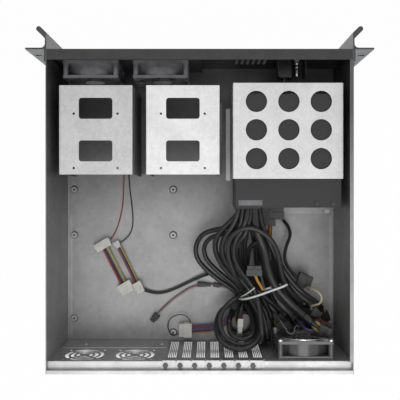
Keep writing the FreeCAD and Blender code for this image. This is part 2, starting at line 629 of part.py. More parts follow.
def drive_cage(x):
    """An inverted U with outward feet; its top carries two windows and two sets of drive holes."""
    outer = box((x - CAGE_HALF, x + CAGE_HALF), CAGE_DEPTH, (SHEET, CAGE_TOP))
    outer = filleted(outer, 1.5, lambda middle, way: abs(way.y) > 0.9 and middle.z > CAGE_TOP - 1)
    inner_half = CAGE_HALF - CAGE_SHEET
    inner = box((x - inner_half, x + inner_half), (0, 200), (0, CAGE_TOP - CAGE_SHEET))
    depth = (CAGE_DEPTH[0] + 8, CAGE_DEPTH[1] - 4)
    feet = [
        foot((x + side * (CAGE_HALF - CAGE_SHEET), x + side * (CAGE_HALF + FOOT)), depth, CAGE_SHEET)
        for side in (-1, 1)
    ]
    cage = joined([outer.cut(inner)] + feet)
    z = (CAGE_TOP - 3, CAGE_TOP + 3)
    cutters = [rounded_window(WINDOW, WINDOW_R, x, depth, z) for depth in WINDOW_DEPTHS]
    for sx in (-1, 1):
        for sy in (-1, 1):
            at = (x + sx * DRIVE_PITCH[0] / 2, DRIVE_MID + sy * DRIVE_PITCH[1] / 2, z[0])
            cutters.append(rod(DRIVE_HOLE_R, 6, at, (0, 0, 1)))
    for z in (24.0, 64.0):
        for depth in (70.0, 130.0):
            cutters.append(rod(2.0, 2 * CAGE_HALF + 4, (x - CAGE_HALF - 2, depth, z), (1, 0, 0)))
    return without(cage, cutters)


def psu_cage():
    """The plate with nine round holes over the power supply, folded down to feet on both sides."""
    left, right = PLATE_X
    outer = box(PLATE_X, PLATE_DEPTH, (SHEET, PLATE_TOP))
    outer = filleted(outer, 1.5, lambda middle, way: abs(way.y) > 0.9 and middle.z > PLATE_TOP - 1)
    inner = box((left + SHEET, right - SHEET), (0, 200), (0, PLATE_TOP - SHEET))
    depth = (PLATE_DEPTH[0] + 20, PLATE_DEPTH[1])
    feet = [
        foot((right - SHEET, right + FOOT), depth, SHEET),
        foot((left - FOOT, left + SHEET), depth, SHEET),
    ]
    cutters = [
        rod(PLATE_HOLE_R, 6, (x, depth, PLATE_TOP - 4), (0, 0, 1))
        for x in PLATE_HOLE_X
        for depth in PLATE_HOLE_DEPTH
    ]
    return without(joined([outer.cut(inner)] + feet), cutters)


def psu_shelf():
    """The bridge under the power supply: a deck on two legs with feet screwed to the floor."""
    left, right = PSU_X
    deck_top = PSU_Z[0]
    deck = box((left + 1, right - 1), (PSU_DEPTH[0] + 2, PSU_DEPTH[1] - 2), (deck_top - 1, deck_top))
    front, rear = PSU_DEPTH[0] + 2, PSU_DEPTH[1] - 2
    legs = [
        box((left + 1, right - 1), (front, front + 1), (SHEET, deck_top)),
        box((left + 1, right - 1), (rear - 1, rear), (SHEET, deck_top)),
    ]
    feet = [
        box((left + 1, right - 1), (front - 12, front + 1), (SHEET, SHEET + 1)),
        box((left - 7, right + 3), (rear - 1, SHELF_FOOT_REAR), (SHEET, SHEET + 1)),
    ]
    cutters = [box((-175, -75), (90, 190), (deck_top - 3, deck_top + 3))]
    cutters += [box(LEAD_NOTCH_X, (d - 3, d + 3), (SHEET + 1, 20)) for d in (front, rear)]
    spare = tuple(x + 7 * side for x, side in zip(SHELF_SCREW_X, (-1, 1)))
    cutters += [rod(1.6, 6, (x, SHELF_SCREW_DEPTH, 0), (0, 0, 1)) for x in SHELF_SCREW_X + spare]
    return without(joined([deck] + legs + feet), cutters)


def psu_housing():
    """The lower shell of the power supply: floor, fan wall towards the front and cable wall."""
    left, right = PSU_X[0] + PSU_SHEET, PSU_X[1] - PSU_SHEET
    front, rear = PSU_DEPTH
    outer = box((left, right), PSU_DEPTH, (PSU_Z[0], PSU_Z[1] - PSU_SHEET))
    inner = box((left - 1, right + 1), (front + PSU_SHEET, rear - PSU_SHEET), (PSU_Z[0] + PSU_SHEET, 200))
    cutters = [
        rod(FAN_BORE_R, 4, (PSU_FAN_X, front - 1, PSU_FAN_Z), (0, 1, 0)),
        box((INLET_X - 13, INLET_X + 13), (front - 1, front + 3), (INLET_Z - 10, INLET_Z + 10)),
        box((INLET_X - 9.5, INLET_X + 9.5), (front - 1, front + 3), (SWITCH_Z - 7.2, SWITCH_Z + 7.2)),
        grommet_block(2.0, (rear - 3, rear + 1)),
    ]
    cutters += square_holes(PSU_FAN_X, PSU_FAN_Z, FAN_HOLE_PITCH, FAN_SCREW_R, front)
    return without(outer.cut(inner), cutters)


def psu_cover():
    """The upper shell of the power supply: top and both sides."""
    left, right = PSU_X
    outer = box(PSU_X, PSU_DEPTH, PSU_Z)
    outer = filleted(outer, 1.0, lambda middle, way: abs(way.y) > 0.9 and middle.z > PSU_Z[1] - 1)
    inner = box((left + PSU_SHEET, right - PSU_SHEET), (0, 300), (0, PSU_Z[1] - PSU_SHEET))
    holes = [rod(1.6, 4, (x, COVER_SCREW_DEPTH, PSU_Z[1] - 2), (0, 0, 1)) for x in COVER_SCREW_X]
    return without(outer, [inner] + holes)


def grommet_block(margin, depth):
    """The cable opening of the power supply as a block, wider by a margin all round."""
    half_x, half_z = GROMMET_HALF[0] + margin, GROMMET_HALF[1] + margin
    return box((GROMMET_X - half_x, GROMMET_X + half_x), depth, (GROMMET_Z - half_z, GROMMET_Z + half_z))


def psu_grommet():
    """The moulded frame in the cable opening of the power supply."""
    rear = PSU_DEPTH[1]
    sleeve = grommet_block(2.0, (rear - 3, rear + 2))
    flange = filleted(grommet_block(4.0, (rear, rear + 2)), 3.0, lambda middle, way: abs(way.y) > 0.9)
    return joined([sleeve, flange]).cut(grommet_block(0.0, (rear - 5, rear + 5)))


def mains_inlet():
    """A recessed three-pin inlet with its flange on the power supply's front wall."""
    front = PSU_DEPTH[0]
    x, z = INLET_X, INLET_Z
    flange = box((x - 16, x + 16), (front - 2, front), (z - 13, z + 13))
    body = box((x - 13, x + 13), (front - 2, front + 16), (z - 10, z + 10))
    recess = box((x - 11, x + 11), (front - 3, front + 13), (z - 7.5, z + 7.5))
    recess = filleted(recess, 2.5, lambda middle, way: abs(way.y) > 0.9 and middle.z > z)
    pins = [
        box((x + dx - 1, x + dx + 1), (front, front + 14), (z + dz - 2, z + dz + 2))
        for dx, dz in ((-7, -1.5), (0, 2.5), (7, -1.5))
    ]
    return joined([joined([flange, body]).cut(recess)] + pins)


def switch_body():
    """The bezel of the mains switch, with bearings for the rocker's stub pins."""
    front = PSU_DEPTH[0]
    x, z = INLET_X, SWITCH_Z
    bezel = box((x - 11, x + 11), (front - 1.5, front), (z - 8.7, z + 8.7))
    body = box((x - 9.5, x + 9.5), (front - 1.5, front + 12), (z - 7.2, z + 7.2))
    recess = box((x - 7.4, x + 7.4), (front - 3, front + 10), (z - 6.2, z + 6.2))
    bearing = rod(0.85, 17.0, (x - 8.5, front + 2.5, z), (1, 0, 0))
    return without(joined([bezel, body]), [recess, bearing])


def switch_rocker():
    """The rocker, in its off position: the lower end stands out."""
    front = PSU_DEPTH[0]
    x, z = INLET_X, SWITCH_Z
    outline = [(-3.1, -4.6), (-1.2, 0), (-0.5, 4.6), (3.0, 4.2), (4.5, 0), (3.0, -4.2)]
    points = [V(x - 7.0, front + y, z + dz) for y, dz in outline]
    rocker = Part.Face(Part.makePolygon(points + [points[0]])).extrude(V(14, 0, 0))
    return joined([rocker, rod(0.8, 16.4, (x - 8.2, front + 2.5, z), (1, 0, 0))])


def control_bracket():
    """The open channel behind the front panel that carries the switch and the port block."""
    outer = box((-154.2, -113.4), (SHEET, CONTROL_DEPTH), (61, 90))
    inner = box((-153.0, -114.6), (0, 40), (62, 100))
    return outer.cut(inner)


def port_block():
    """Two stacked sockets behind the front panel's opening."""
    x, z = PORTS_X, CONTROL_Z
    block = box((x - 9, x + 9), (SHEET, 31), (z - 10, z + 10))
    cutters = [box((x - 6.5, x + 6.5), (0, 14), (z + dz - 2.6, z + dz + 2.6)) for dz in (-4.2, 4.2)]
    tongues = [box((x - 5.5, x + 5.5), (3, 15), (z + dz + 0.2, z + dz + 1.8)) for dz in (-4.2, 4.2)]
    return joined([without(block, cutters)] + tongues)


def power_switch_body():
    """The push switch: a nut and sleeve at the panel and a bright barrel behind."""
    x, z = BUTTON_X, CONTROL_Z
    nut = hexagon(14.0, 3.0, (x, SHEET, z), (0, 1, 0))
    sleeve = rod(6.4, 9.0, (x, SHEET, z), (0, 1, 0))
    ring = rod(4.6, 2.0, (x, 13.0, z), (0, 1, 0))
    barrel = rod(3.4, 19.0, (x, 9.0, z), (0, 1, 0))
    well = rod(BUTTON_R + BUTTON_GAP, 8.0, (x, 1.0, z), (0, 1, 0))
    bore = rod(1.95, 14.0, (x, 8.0, z), (0, 1, 0))
    return without(joined([nut, sleeve, ring, barrel]), [well, bore])


def power_button():
    x, z = BUTTON_X, CONTROL_Z
    cap = rod(BUTTON_R, 4.2, (x, -2.2, z), (0, 1, 0))
    crown = Part.makeCone(BUTTON_R - 0.8, BUTTON_R, 0.8, V(x, -3.0, z), V(0, 1, 0))
    return joined([cap, crown, rod(1.9, 12.5, (x, 1.5, z), (0, 1, 0))])


def screws():
    """Every hexagon-head screw: slot covers, rear fan guard, shelf foot and power supply cover."""
    pitch = FAN_HOLE_PITCH / 2
    up = (0, 0, 1)
    guard = REAR_WALL - FAN_DEPTH - WIRE
    corners = [(REAR_FAN_X + x * pitch, guard, REAR_FAN_Z + z * pitch) for x in (-1, 1) for z in (-1, 1)]
    tab_top = LEDGE_Z + COVER_THICK
    solids = [screw((x + TAB_SCREW, SCREW_DEPTH, tab_top), up, across=6.8) for x in slot_centres()]
    solids += [screw(corner, (0, -1, 0), shank=8.0) for corner in corners]
    solids += [screw((x, SHELF_SCREW_DEPTH, SHEET + 1), up, shank=2.2) for x in SHELF_SCREW_X]
    for x in COVER_SCREW_X:
        solids.append(screw((x, COVER_SCREW_DEPTH, PSU_Z[1]), up, shank=0.9, head=1.6, across=5.6))
    return Part.makeCompound(solids)


def tube_section(diameter, at, along):
    """A cord's section: eight flats with the area of the round cord."""
    reach = diameter / 2 * math.sqrt(2 * math.pi / (8 * math.sin(math.pi / 4)))
    ring = [V(reach * math.cos(k * math.pi / 4), reach * math.sin(k * math.pi / 4), 0) for k in range(9)]
    section = Part.makePolygon(ring)
    section.Placement = FreeCAD.Placement(at, FreeCAD.Rotation(V(0, 0, 1), along))
    return section


def cord(node, diameter, corners):
    """A plain tube along straight runs joined by arcs that touch both runs."""
    points = [V(*corner) for corner in corners]
    edges = []
    radii = []
    start = points[0]
    for before, corner, after in zip(points, points[1:], points[2:]):
        back = before.sub(corner)
        on = after.sub(corner)
        turn = math.pi - back.getAngle(on)
        reach = 0.45 * min(back.Length, on.Length)
        radius = reach / math.tan(turn / 2)
        back.normalize()
        on.normalize()
        first = corner + back * reach
        last = corner + on * reach
        inward = (back + on).normalize()
        middle = corner + inward * (radius / math.cos(turn / 2) - radius)
        edges += [Part.LineSegment(start, first).toShape(), Part.Arc(first, middle, last).toShape()]
        radii.append(radius)
        start = last
    edges.append(Part.LineSegment(start, points[-1]).toShape())
    spine = Part.Wire(edges)
    ring = tube_section(diameter, points[0], points[1].sub(points[0]))
    tube = spine.makePipeShell([ring], True, False)
    expected = spine.Length * Part.Face(ring).Area
    if abs(tube.Volume / expected - 1) > 0.01:
        raise ValueError(node + " isn't a clean tube")
    tight = [str(round(radius / diameter, 1)) for radius in radii]
    print(node, "length", round(spine.Length), "radii over diameter", " ".join(tight))
    return tube


def plug(back, way, size):
    """A plug housing: a block with a narrower nose and a latch bar on one broad face."""
    width, length, height = size
    forward = V(*way).normalize()
    side = forward.cross(V(0, 0, 1)).normalize()
    neck = length * 0.62
    body = box((-width / 2, width / 2), (0, neck), (-height / 2, height / 2))
    nose = box((-width / 2 + 1, width / 2 - 1), (neck, length), (-height / 2 + 1, height / 2 - 1))
    latch = box((-2.0, 2.0), (length * 0.2, length * 0.8), (height / 2 - 1, height / 2 + 0.8))
    housing = joined([body, nose, latch])
    turned = FreeCAD.Rotation(side, forward, side.cross(forward), "YXZ")
    housing.Placement = FreeCAD.Placement(V(*back), turned)
    return housing


def cable_ties():
    """The tie round the bundle: a flat band bent to an oval, with its locking head."""
    band, thick = TIE_BAND
    long_half, short_half = TIE_AXES
    outer = Part.Ellipse(V(0, 0, 0), long_half, short_half).toShape()
    inner = Part.Ellipse(V(0, 0, 0), long_half - thick, short_half - thick).toShape()
    faces = [Part.Face(Part.Wire(edge)).extrude(V(0, 0, band)) for edge in (outer, inner)]
    oval = faces[0].cut(faces[1])
    head = box((-long_half - 4.0, -long_half + thick / 2), (-3.0, 3.0), (-0.8, band + 0.8))
    tie = joined([oval, head])
    tie.translate(V(0, 0, -band / 2))
    tie.rotate(V(0, 0, 0), V(0, 0, 1), TIE_TILT)
    side = V(*TIE_WAY)
    up = V(0, 0, 1)
    tie.Placement = FreeCAD.Placement(V(*TIE_AT), FreeCAD.Rotation(side, up, side.cross(up), "XYZ")) * tie.Placement
    return tie


def write(node, shape):
    """Moves a piece to the common frame and writes it under its own name."""
    shape.translate(V(0, FRONT_Y, 0))
    if not shape.isValid():
        raise ValueError(node + " isn't a valid solid")
    shape.exportStep("parts/" + node + ".step")


def main():
    os.makedirs("parts", exist_ok=True)
    write("chassis_tub", chassis_tub())
    write("rear_panel", rear_panel())
    write("port_cover", port_cover())
    for k, x in enumerate(slot_centres()):
        write("slot_cover_" + str(k + 1), slot_cover(x))
    write("front_panel", front_panel())
    write("handle_left", handle(-1))
    write("handle_right", handle(1))
    write("fan_bracket", fan_bracket())
    for name, x in zip(("a", "b"), FRONT_FAN_X):
        write("front_fan_frame_" + name, fan_frame(x, FRONT_FAN_DEPTH, FRONT_FAN_Z))
        write("front_fan_impeller_" + name, fan_impeller(x, FRONT_FAN_DEPTH, FRONT_FAN_Z))
    rear_depth = REAR_WALL - FAN_DEPTH
    write("rear_fan_frame", fan_frame(REAR_FAN_X, rear_depth, REAR_FAN_Z))
    write("rear_fan_impeller", fan_impeller(REAR_FAN_X, rear_depth, REAR_FAN_Z))
    write("rear_fan_guard", wire_guard(REAR_FAN_X, rear_depth, REAR_FAN_Z))
    for name, x in zip(("a", "b"), CAGE_X):
        write("drive_cage_" + name, drive_cage(x))
    write("psu_cage", psu_cage())
    write("psu_shelf", psu_shelf())
    write("psu_housing", psu_housing())
    write("psu_cover", psu_cover())
    write("psu_grommet", psu_grommet())
    write("screws", screws())
    front = PSU_DEPTH[0]
    write("psu_fan_frame", fan_frame(PSU_FAN_X, front + PSU_SHEET, PSU_FAN_Z))
    write("psu_fan_impeller", fan_impeller(PSU_FAN_X, front + PSU_SHEET, PSU_FAN_Z))
    write("psu_fan_guard", wire_guard(PSU_FAN_X, front, PSU_FAN_Z))
    write("mains_inlet", mains_inlet())
    write("mains_switch_body", switch_body())
    write("mains_switch_rocker", switch_rocker())
    write("control_bracket", control_bracket())
    write("port_block", port_block())
    write("power_switch_body", power_switch_body())
    write("power_button", power_button())
    for node, (diameter, corners) in CORDS.items():
        write(node, cord(node, diameter, corners))
    write("white_connectors", Part.makeCompound([plug(*place) for place in WHITE_PLUGS]))
    write("dark_connectors", Part.makeCompound([plug(*place) for place in DARK_PLUGS]))
    write("cable_ties", cable_ties())


main()
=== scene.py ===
import bpy
import bmesh
import math
from mathutils import Matrix, Vector


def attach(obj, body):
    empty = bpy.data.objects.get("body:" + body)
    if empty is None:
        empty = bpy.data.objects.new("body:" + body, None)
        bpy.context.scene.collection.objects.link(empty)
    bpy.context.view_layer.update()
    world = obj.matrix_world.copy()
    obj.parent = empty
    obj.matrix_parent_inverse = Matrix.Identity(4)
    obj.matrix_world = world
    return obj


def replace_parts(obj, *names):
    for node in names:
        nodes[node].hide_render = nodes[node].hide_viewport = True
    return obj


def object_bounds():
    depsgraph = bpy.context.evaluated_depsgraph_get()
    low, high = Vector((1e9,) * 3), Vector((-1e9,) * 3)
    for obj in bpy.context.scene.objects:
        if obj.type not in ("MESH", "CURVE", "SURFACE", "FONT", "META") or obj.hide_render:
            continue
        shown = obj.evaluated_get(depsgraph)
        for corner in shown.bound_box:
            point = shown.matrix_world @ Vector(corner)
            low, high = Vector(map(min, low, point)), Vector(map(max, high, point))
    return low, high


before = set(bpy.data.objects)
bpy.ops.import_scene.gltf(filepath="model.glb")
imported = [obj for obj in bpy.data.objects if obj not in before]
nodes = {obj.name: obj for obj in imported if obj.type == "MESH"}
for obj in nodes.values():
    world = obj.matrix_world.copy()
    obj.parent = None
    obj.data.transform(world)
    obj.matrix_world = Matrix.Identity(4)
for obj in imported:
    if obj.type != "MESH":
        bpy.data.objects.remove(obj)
cad_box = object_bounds()
scene = bpy.context.scene
MM = 0.001
FRONT_Y = -209.45
UP = Vector((0, 0, 1))


def place(x, depth, z):
    """A point given in millimetres, with the depth behind the case's front face."""
    return Vector((x * MM, (depth + FRONT_Y) * MM, z * MM))


# The camera stands right over the open case.
camera_data = bpy.data.cameras.new("camera")
camera_data.lens = 55.22
camera_data.sensor_width = 36.0
camera_data.shift_x = -0.0205
camera_data.shift_y = -0.0145
camera_data.clip_start = 0.05
camera = bpy.data.objects.new("camera", camera_data)
camera.location = (-0.0118, -0.00835, 0.980)
camera.rotation_euler = (0.0, 0.0, math.pi)
scene.collection.objects.link(camera)
scene.camera = camera

# Cables and leads: diameter and length, the plugs on the cable, and the corners of its route, in millimetres
ROUTES = {
    # two drive cables: a wide turn to the left on the floor, then into the coil that leans on the rear wall
    "drive_cable_a": (7.5, 388, ["dark_plug_drive"], [
        (-58.5, 213, 80), (-58.5, 228, 77), (-44.5, 250, 66), (-23.5, 254.5, 52), (-4.5, 260.5, 40),
        (7, 276.5, 31), (8, 297.5, 25), (-5, 316, 20), (-26, 334, 17), (-50, 350, 15),
        (-67, 367, 18), (-77, 383, 31), (-80, 396.5, 48), (-80, 409, 63), (-69, 416, 71),
        (-55, 416, 71), (-43.5, 409, 63), (-43, 397, 52), (-45.5, 386, 39),
        (-50.5, 378, 29),
    ]),
    "drive_cable_b": (7.0, 254, ["white_plug_coil"], [
        (-65.5, 213, 80), (-65.5, 232, 77), (-54, 255.5, 69), (-33.5, 261, 57), (-14.5, 267, 44),
        (-4.5, 281, 34), (-7, 300, 28), (-22, 317, 24), (-42, 334, 22), (-60, 350, 23),
        (-66.5, 367, 31), (-61.5, 380, 39), (-61, 394.5, 45),
    ]),
    # the graphics cables: one goes round the coil, the other straight back
    "graphics_cable_a": (8.5, 405, ["dark_plug_graphics_a"], [
        (-58.5, 213, 87.5), (-58, 223, 87.5), (-52.5, 233.5, 86), (-43, 243, 82), (-31.5, 254, 76),
        (-22.5, 267.5, 69), (-22, 286.5, 60), (-31, 307, 50), (-47, 326, 42), (-64, 344, 35),
        (-76, 361, 33), (-87, 378.5, 40), (-92, 394, 54), (-90, 410, 70), (-77, 422.5, 86),
        (-58, 427, 93), (-39, 423, 88), (-25.5, 412, 74), (-23.5, 396, 56), (-28.5, 384, 43),
        (-37, 376, 34), (-46, 370, 29.5),
    ]),
    "graphics_cable_b": (7.5, 243, ["dark_plug_graphics_b"], [
        (-65.5, 213, 87.5), (-65.5, 231, 87.5), (-52.5, 248, 84.5), (-39.5, 259, 78), (-31.5, 273.5, 70),
        (-31.5, 292, 61), (-43, 311, 52), (-59, 328, 44), (-74, 345, 37), (-86, 363, 31),
        (-95, 382, 28), (-100.5, 399, 26), (-103.5, 413, 24.5),
    ]),
    # the processor cables: the inner strands of the bundle
    "processor_cable_a": (7.0, 249, ["dark_plug_processor_a"], [
        (-62, 213, 94.5), (-62, 233, 95), (-55.5, 254.5, 91), (-46, 265, 84), (-41, 280.5, 76),
        (-45, 299, 67), (-56, 316, 60), (-71, 332.5, 56), (-87, 347, 52), (-104, 362, 46),
        (-122, 378, 38), (-136, 392, 28.5), (-146, 402, 20.5),
    ]),
    "processor_cable_b": (7.5, 232, ["dark_plug_processor_b"], [
        (-73, 213, 93.5), (-73, 234, 95.5), (-65.5, 260, 93), (-56, 270.5, 86), (-51, 286, 77),
        (-55.5, 303.5, 66), (-67.5, 320.5, 55), (-81.5, 338, 43), (-93, 356.5, 34), (-103, 375, 30),
        (-110, 391.5, 27.5), (-114, 409, 25.5),
    ]),
    # two more strands on top of the graphics cables, which rise to the rear wall and drop behind the coil
    "supply_cable_a": (7.5, 265, ["dark_plug_supply_a"], [
        (-56, 213, 94.5), (-55.5, 230, 95.5), (-46, 250, 91), (-36, 264, 84), (-31.5, 280, 76),
        (-35.5, 298, 67), (-48, 316, 58), (-63, 332, 52), (-76, 348, 47), (-86, 366, 50),
        (-94, 384, 58), (-98.5, 401, 64), (-101, 415, 61), (-102, 422, 48), (-100, 423, 34),
    ]),
    "supply_cable_b": (7.5, 260, ["dark_plug_supply_b"], [
        (-69, 213, 97), (-69, 232, 99.5), (-61, 252, 98), (-52, 266, 92), (-48.5, 283, 84),
        (-51, 300, 75), (-61, 317, 66), (-74, 333, 60), (-84, 350, 56), (-88, 368, 59),
        (-90, 386, 66), (-91.5, 403, 72), (-92, 417, 69), (-92.5, 424, 55), (-91, 424, 38),
    ]),
    # two strands deep in the bundle, and one that lies in the coil
    "supply_cable_c": (7.0, 206, ["dark_plug_supply_c"], [
        (-66, 213, 84), (-66, 236, 81), (-62, 259, 71), (-58.5, 283, 59), (-62, 307, 47), (-71, 329, 37),
        (-84, 350, 28), (-98, 371, 21), (-112, 392, 18),
    ]),
    "supply_cable_d": (7.0, 208, ["dark_plug_supply_d"], [
        (-70.5, 213, 79), (-70.5, 236, 75), (-69, 259, 63), (-66.5, 283, 49), (-69, 307, 37), (-78, 329, 27),
        (-92, 350, 19), (-108, 370, 14), (-126, 388.5, 13),
    ]),
    "coil_cable": (7.5, 243, ["dark_plug_coil"], [
        (-63, 345, 9), (-71, 366, 11), (-83, 384, 27), (-88, 399, 46), (-86, 413, 63), (-74, 421, 76),
        (-57, 423, 80), (-41, 417, 76), (-31.5, 405, 68), (-28, 390, 60), (-34, 376, 52),
        (-45, 366, 46), (-57, 358, 42), (-67.5, 351.5, 36.5),
    ]),
    # a strand that comes up from under the bundle, arches over and leaves to the right
    "loop_cable": (7.5, 267, ["dark_plug_loop"], [
        (-73, 338, 14), (-72, 321, 24), (-72, 303, 38), (-72.5, 285, 53), (-81, 272.5, 63),
        (-94, 271.5, 67), (-103.5, 282, 66), (-105, 300, 62), (-106, 320, 57), (-110, 342, 50),
        (-121, 361, 44), (-138, 377, 37), (-156, 391.5, 27), (-170.5, 405.5, 14.5),
    ]),
    # a wider arch over it, from the left strands to the right
    "arch_cable": (7.5, 352, ["grey_plug_arch"], [
        (-72, 366, 21), (-66, 352, 33), (-60, 339, 48), (-53.5, 325, 61), (-45, 306, 71.5), (-39.5, 284, 82),
        (-43.5, 264, 92), (-57, 251.5, 99), (-74.5, 248.5, 102.5), (-91.5, 256.5, 101), (-106, 271, 96),
        (-114.5, 290.5, 88), (-118.5, 312, 79), (-125, 332.5, 69), (-138, 350.5, 59), (-155.5, 366, 48),
        (-173, 380, 36),
    ]),
    # the main board's cable, the thickest, in two strands
    "main_cable": (11.0, 236, ["grey_plug_board"], [
        (-76, 213, 83), (-76, 235, 84), (-84, 252, 84), (-96, 264, 82.5), (-108, 279.5, 77),
        (-116.5, 298.5, 70), (-121, 320.5, 62), (-130, 341, 55), (-145, 359, 47), (-161.5, 373.5, 39),
        (-176, 387.5, 31), (-188, 402, 24),
    ]),
    "board_cable": (12.0, 227, ["grey_plug_supply"], [
        (-79, 213, 92), (-79, 234, 93.5), (-82, 254, 94), (-89, 270, 91), (-95.5, 287, 84.5),
        (-99, 306, 77), (-104.5, 325, 70), (-115, 343, 65), (-128, 357, 63), (-141, 370, 64),
        (-152, 379, 67), (-163, 388.5, 72), (-177, 399.5, 77),
    ]),
    # strands that fill the space under the bundle, one beside it, and one curled up inside the coil
    "under_cable_a": (8.0, 201, ["dark_plug_under_a"], [
        (-75, 213, 74), (-77, 236, 68), (-84, 262, 55), (-92, 290, 38), (-98, 318, 24), (-105, 346, 14),
        (-115, 370, 10), (-128.5, 391.5, 10),
    ]),
    "under_cable_b": (8.0, 199, ["dark_plug_under_b"], [
        (-82, 213, 76), (-85, 236, 72), (-94, 262, 62), (-106, 290, 50), (-113, 316, 40), (-121, 342, 30),
        (-134, 366, 20), (-150, 387, 15),
    ]),
    "side_cable": (8.5, 220, ["dark_plug_side"], [
        (-85, 213, 86), (-87, 238, 89), (-96, 261, 88), (-107, 283, 81), (-117, 303, 73), (-128, 321, 67),
        (-141, 337, 63), (-156, 351, 59), (-171, 362, 52), (-184, 373, 42), (-190.5, 386, 32),
    ]),
    "under_cable_c": (8.5, 197, ["dark_plug_under_c"], [
        (-73, 213, 70), (-75, 240, 62), (-81, 266, 50), (-86, 292, 34), (-88, 318, 20), (-92, 344, 11),
        (-101, 370, 9), (-112, 392, 9),
    ]),
    "nest_cable": (9.0, 166, ["dark_plug_nest"], [
        (-58, 352, 12), (-62, 372, 11), (-52, 386, 8), (-43, 400, 7), (-47, 418, 7), (-64, 425, 7),
        (-80, 419, 7), (-84, 401, 7), (-77, 387, 7.5), (-64, 386, 9), (-59, 396, 9), (-61, 405, 9),
    ]),
    # short leads to the plugs behind the power supply and on top of the bundle
    "plug_lead_rear": (4.0, 66, ["grey_plug_rear", "grey_plug_wide"], [
        (-86.5, 307, 22), (-97.5, 293, 23), (-104.5, 277, 27), (-107, 262.5, 33), (-106.5, 249, 38),
    ]),
    "plug_lead_top": (4.0, 32, ["grey_plug_top"], [
        (-94, 345, 62), (-89.5, 337, 66), (-84, 328.5, 68), (-80, 318, 69),
    ]),
    # the front panel's lead: down behind the panel, under the power supply, to the black plug
    "front_lead": (5.0, 373, ["black_plug_front"], [
        (-124, 31.2, 77), (-124, 38, 77), (-124, 45, 74), (-124, 49.5, 69), (-124, 51.5, 62),
        (-123.5, 51.5, 53), (-124, 51, 43), (-124, 51, 32), (-124, 51.5, 22), (-124, 55, 13.5),
        (-124, 62, 8), (-124, 72, 6), (-124, 92, 5.5), (-123, 125, 5), (-125, 160, 5), (-124, 192, 5),
        (-122, 217, 6), (-128.5, 240.5, 10), (-138, 251, 14), (-141.5, 265, 18), (-133.5, 282, 22),
        (-129.5, 300.5, 26), (-137, 318.5, 28), (-153, 334, 30),
    ]),
    # the two leads of the front fans
    "fan_lead_red": (1.8, 279, ["white_plug_upper"], [
        (138, 35.5, 50), (135, 40, 40), (131, 43, 28), (128, 48, 14), (126, 60, 5), (124, 85, 2.5),
        (122, 120, 2.3), (121.5, 155, 2.5), (123, 188, 2.3), (124, 220, 2.5), (132, 253.5, 2.5),
        (141, 271, 4), (149, 279, 6),
    ]),
    "fan_lead_black": (1.8, 279, ["white_plug_small"], [
        (130, 35.5, 48), (127.5, 40, 37), (124, 44, 25), (120.5, 51, 12), (118, 64, 4), (116.5, 90, 2.5),
        (114.5, 125, 2.3), (115, 160, 2.5), (113.5, 191, 2.3), (109, 223, 2.5), (107.5, 252, 2.5),
        (115, 270, 4), (129, 279.5, 6),
    ]),
    # the four-wire leads between the white plugs
    "adapter_leads_a": (6.0, 70, ["white_plug_lower_a"], [
        (154, 281.5, 8), (144.5, 300.5, 5.5), (133, 322.5, 5.5), (122, 343.5, 8),
    ]),
    "adapter_leads_b": (5.0, 65, ["white_plug_lower_b"], [
        (130, 284.5, 8), (121.5, 301.5, 6), (111, 323.5, 6), (101.5, 342.5, 8),
    ]),
    # leads that leave the bundle on the floor, to the left
    "drive_lead": (5.0, 112, ["white_plug_lower_b"], [
        (-11.5, 327.5, 9), (7.5, 334.5, 5.5), (31.5, 347, 4), (55.5, 357, 4), (77, 358.5, 5), (92.5, 351.5, 8),
    ]),
    "sensor_lead": (3.4, 128, ["sensor_sleeve_a", "sensor_sleeve_b", "sensor_plug"], [
        (-40, 349, 6), (-24, 345, 5), (-3.5, 344, 4.5), (17, 350, 3.5), (38, 363, 3.7), (58.5, 380.5, 4),
        (71, 394.5, 5),
    ]),
    "rear_leads": (8.0, 77, ["white_plug_rear"], [
        (-51, 389.5, 14), (-41.5, 401.5, 11), (-29, 410, 8), (-13, 414, 6), (2, 415, 6.3), (17, 415.5, 8),
    ]),
    # a short bridge that loops round the rear white plug, and the loose thin leads at the right
    "jumper_lead": (1.6, 93, ["white_plug_rear"], [
        (17, 411, 12), (14.5, 402, 14), (24, 391, 14), (38, 391, 12.5), (50, 398, 10), (53, 412, 8),
        (48, 424, 6), (38, 425, 7), (31, 420, 9),
    ]),
    "signal_lead": (3.0, 83, ["grey_plug_arch"], [
        (-160, 343, 36), (-165, 342.5, 50), (-172, 344, 60), (-179, 349, 63), (-183, 357, 62),
        (-180, 366, 58), (-172, 369, 52), (-168, 373, 45), (-171, 380, 38),
    ]),
    "rear_fan_lead": (3.0, 66, ["grey_plug_board"], [
        (-197, 406, 40), (-201, 400.5, 48), (-194, 396, 54), (-184, 392.5, 56), (-175, 390, 52),
        (-174, 392, 42), (-183, 400, 29),
    ]),
    "white_lead": (1.6, 124, ["dark_plug_processor_a"], [
        (-118, 388, 40), (-122, 394, 58), (-126, 399, 71), (-128, 403.5, 82), (-133, 405.5, 86),
        (-138, 403, 82), (-140, 397, 73), (-143, 396, 68), (-147, 399, 68), (-150, 400, 56),
        (-148, 399, 38), (-146, 402, 22),
    ]),
    "blue_lead": (3.0, 102, ["dark_plug_loop"], [
        (-147, 392, 45), (-151, 396, 60), (-156, 400.5, 71), (-163, 402.5, 76), (-170, 401, 72),
        (-175, 399, 58), (-174, 401, 38), (-171, 405, 16),
    ]),
}


def linear(code):
    """An sRGB hex colour as linear values."""
    parts = [int(code[k:k + 2], 16) / 255 for k in (0, 2, 4)]
    return tuple(c / 12.92 if c <= 0.04045 else ((c + 0.055) / 1.055) ** 2.4 for c in parts) + (1.0,)


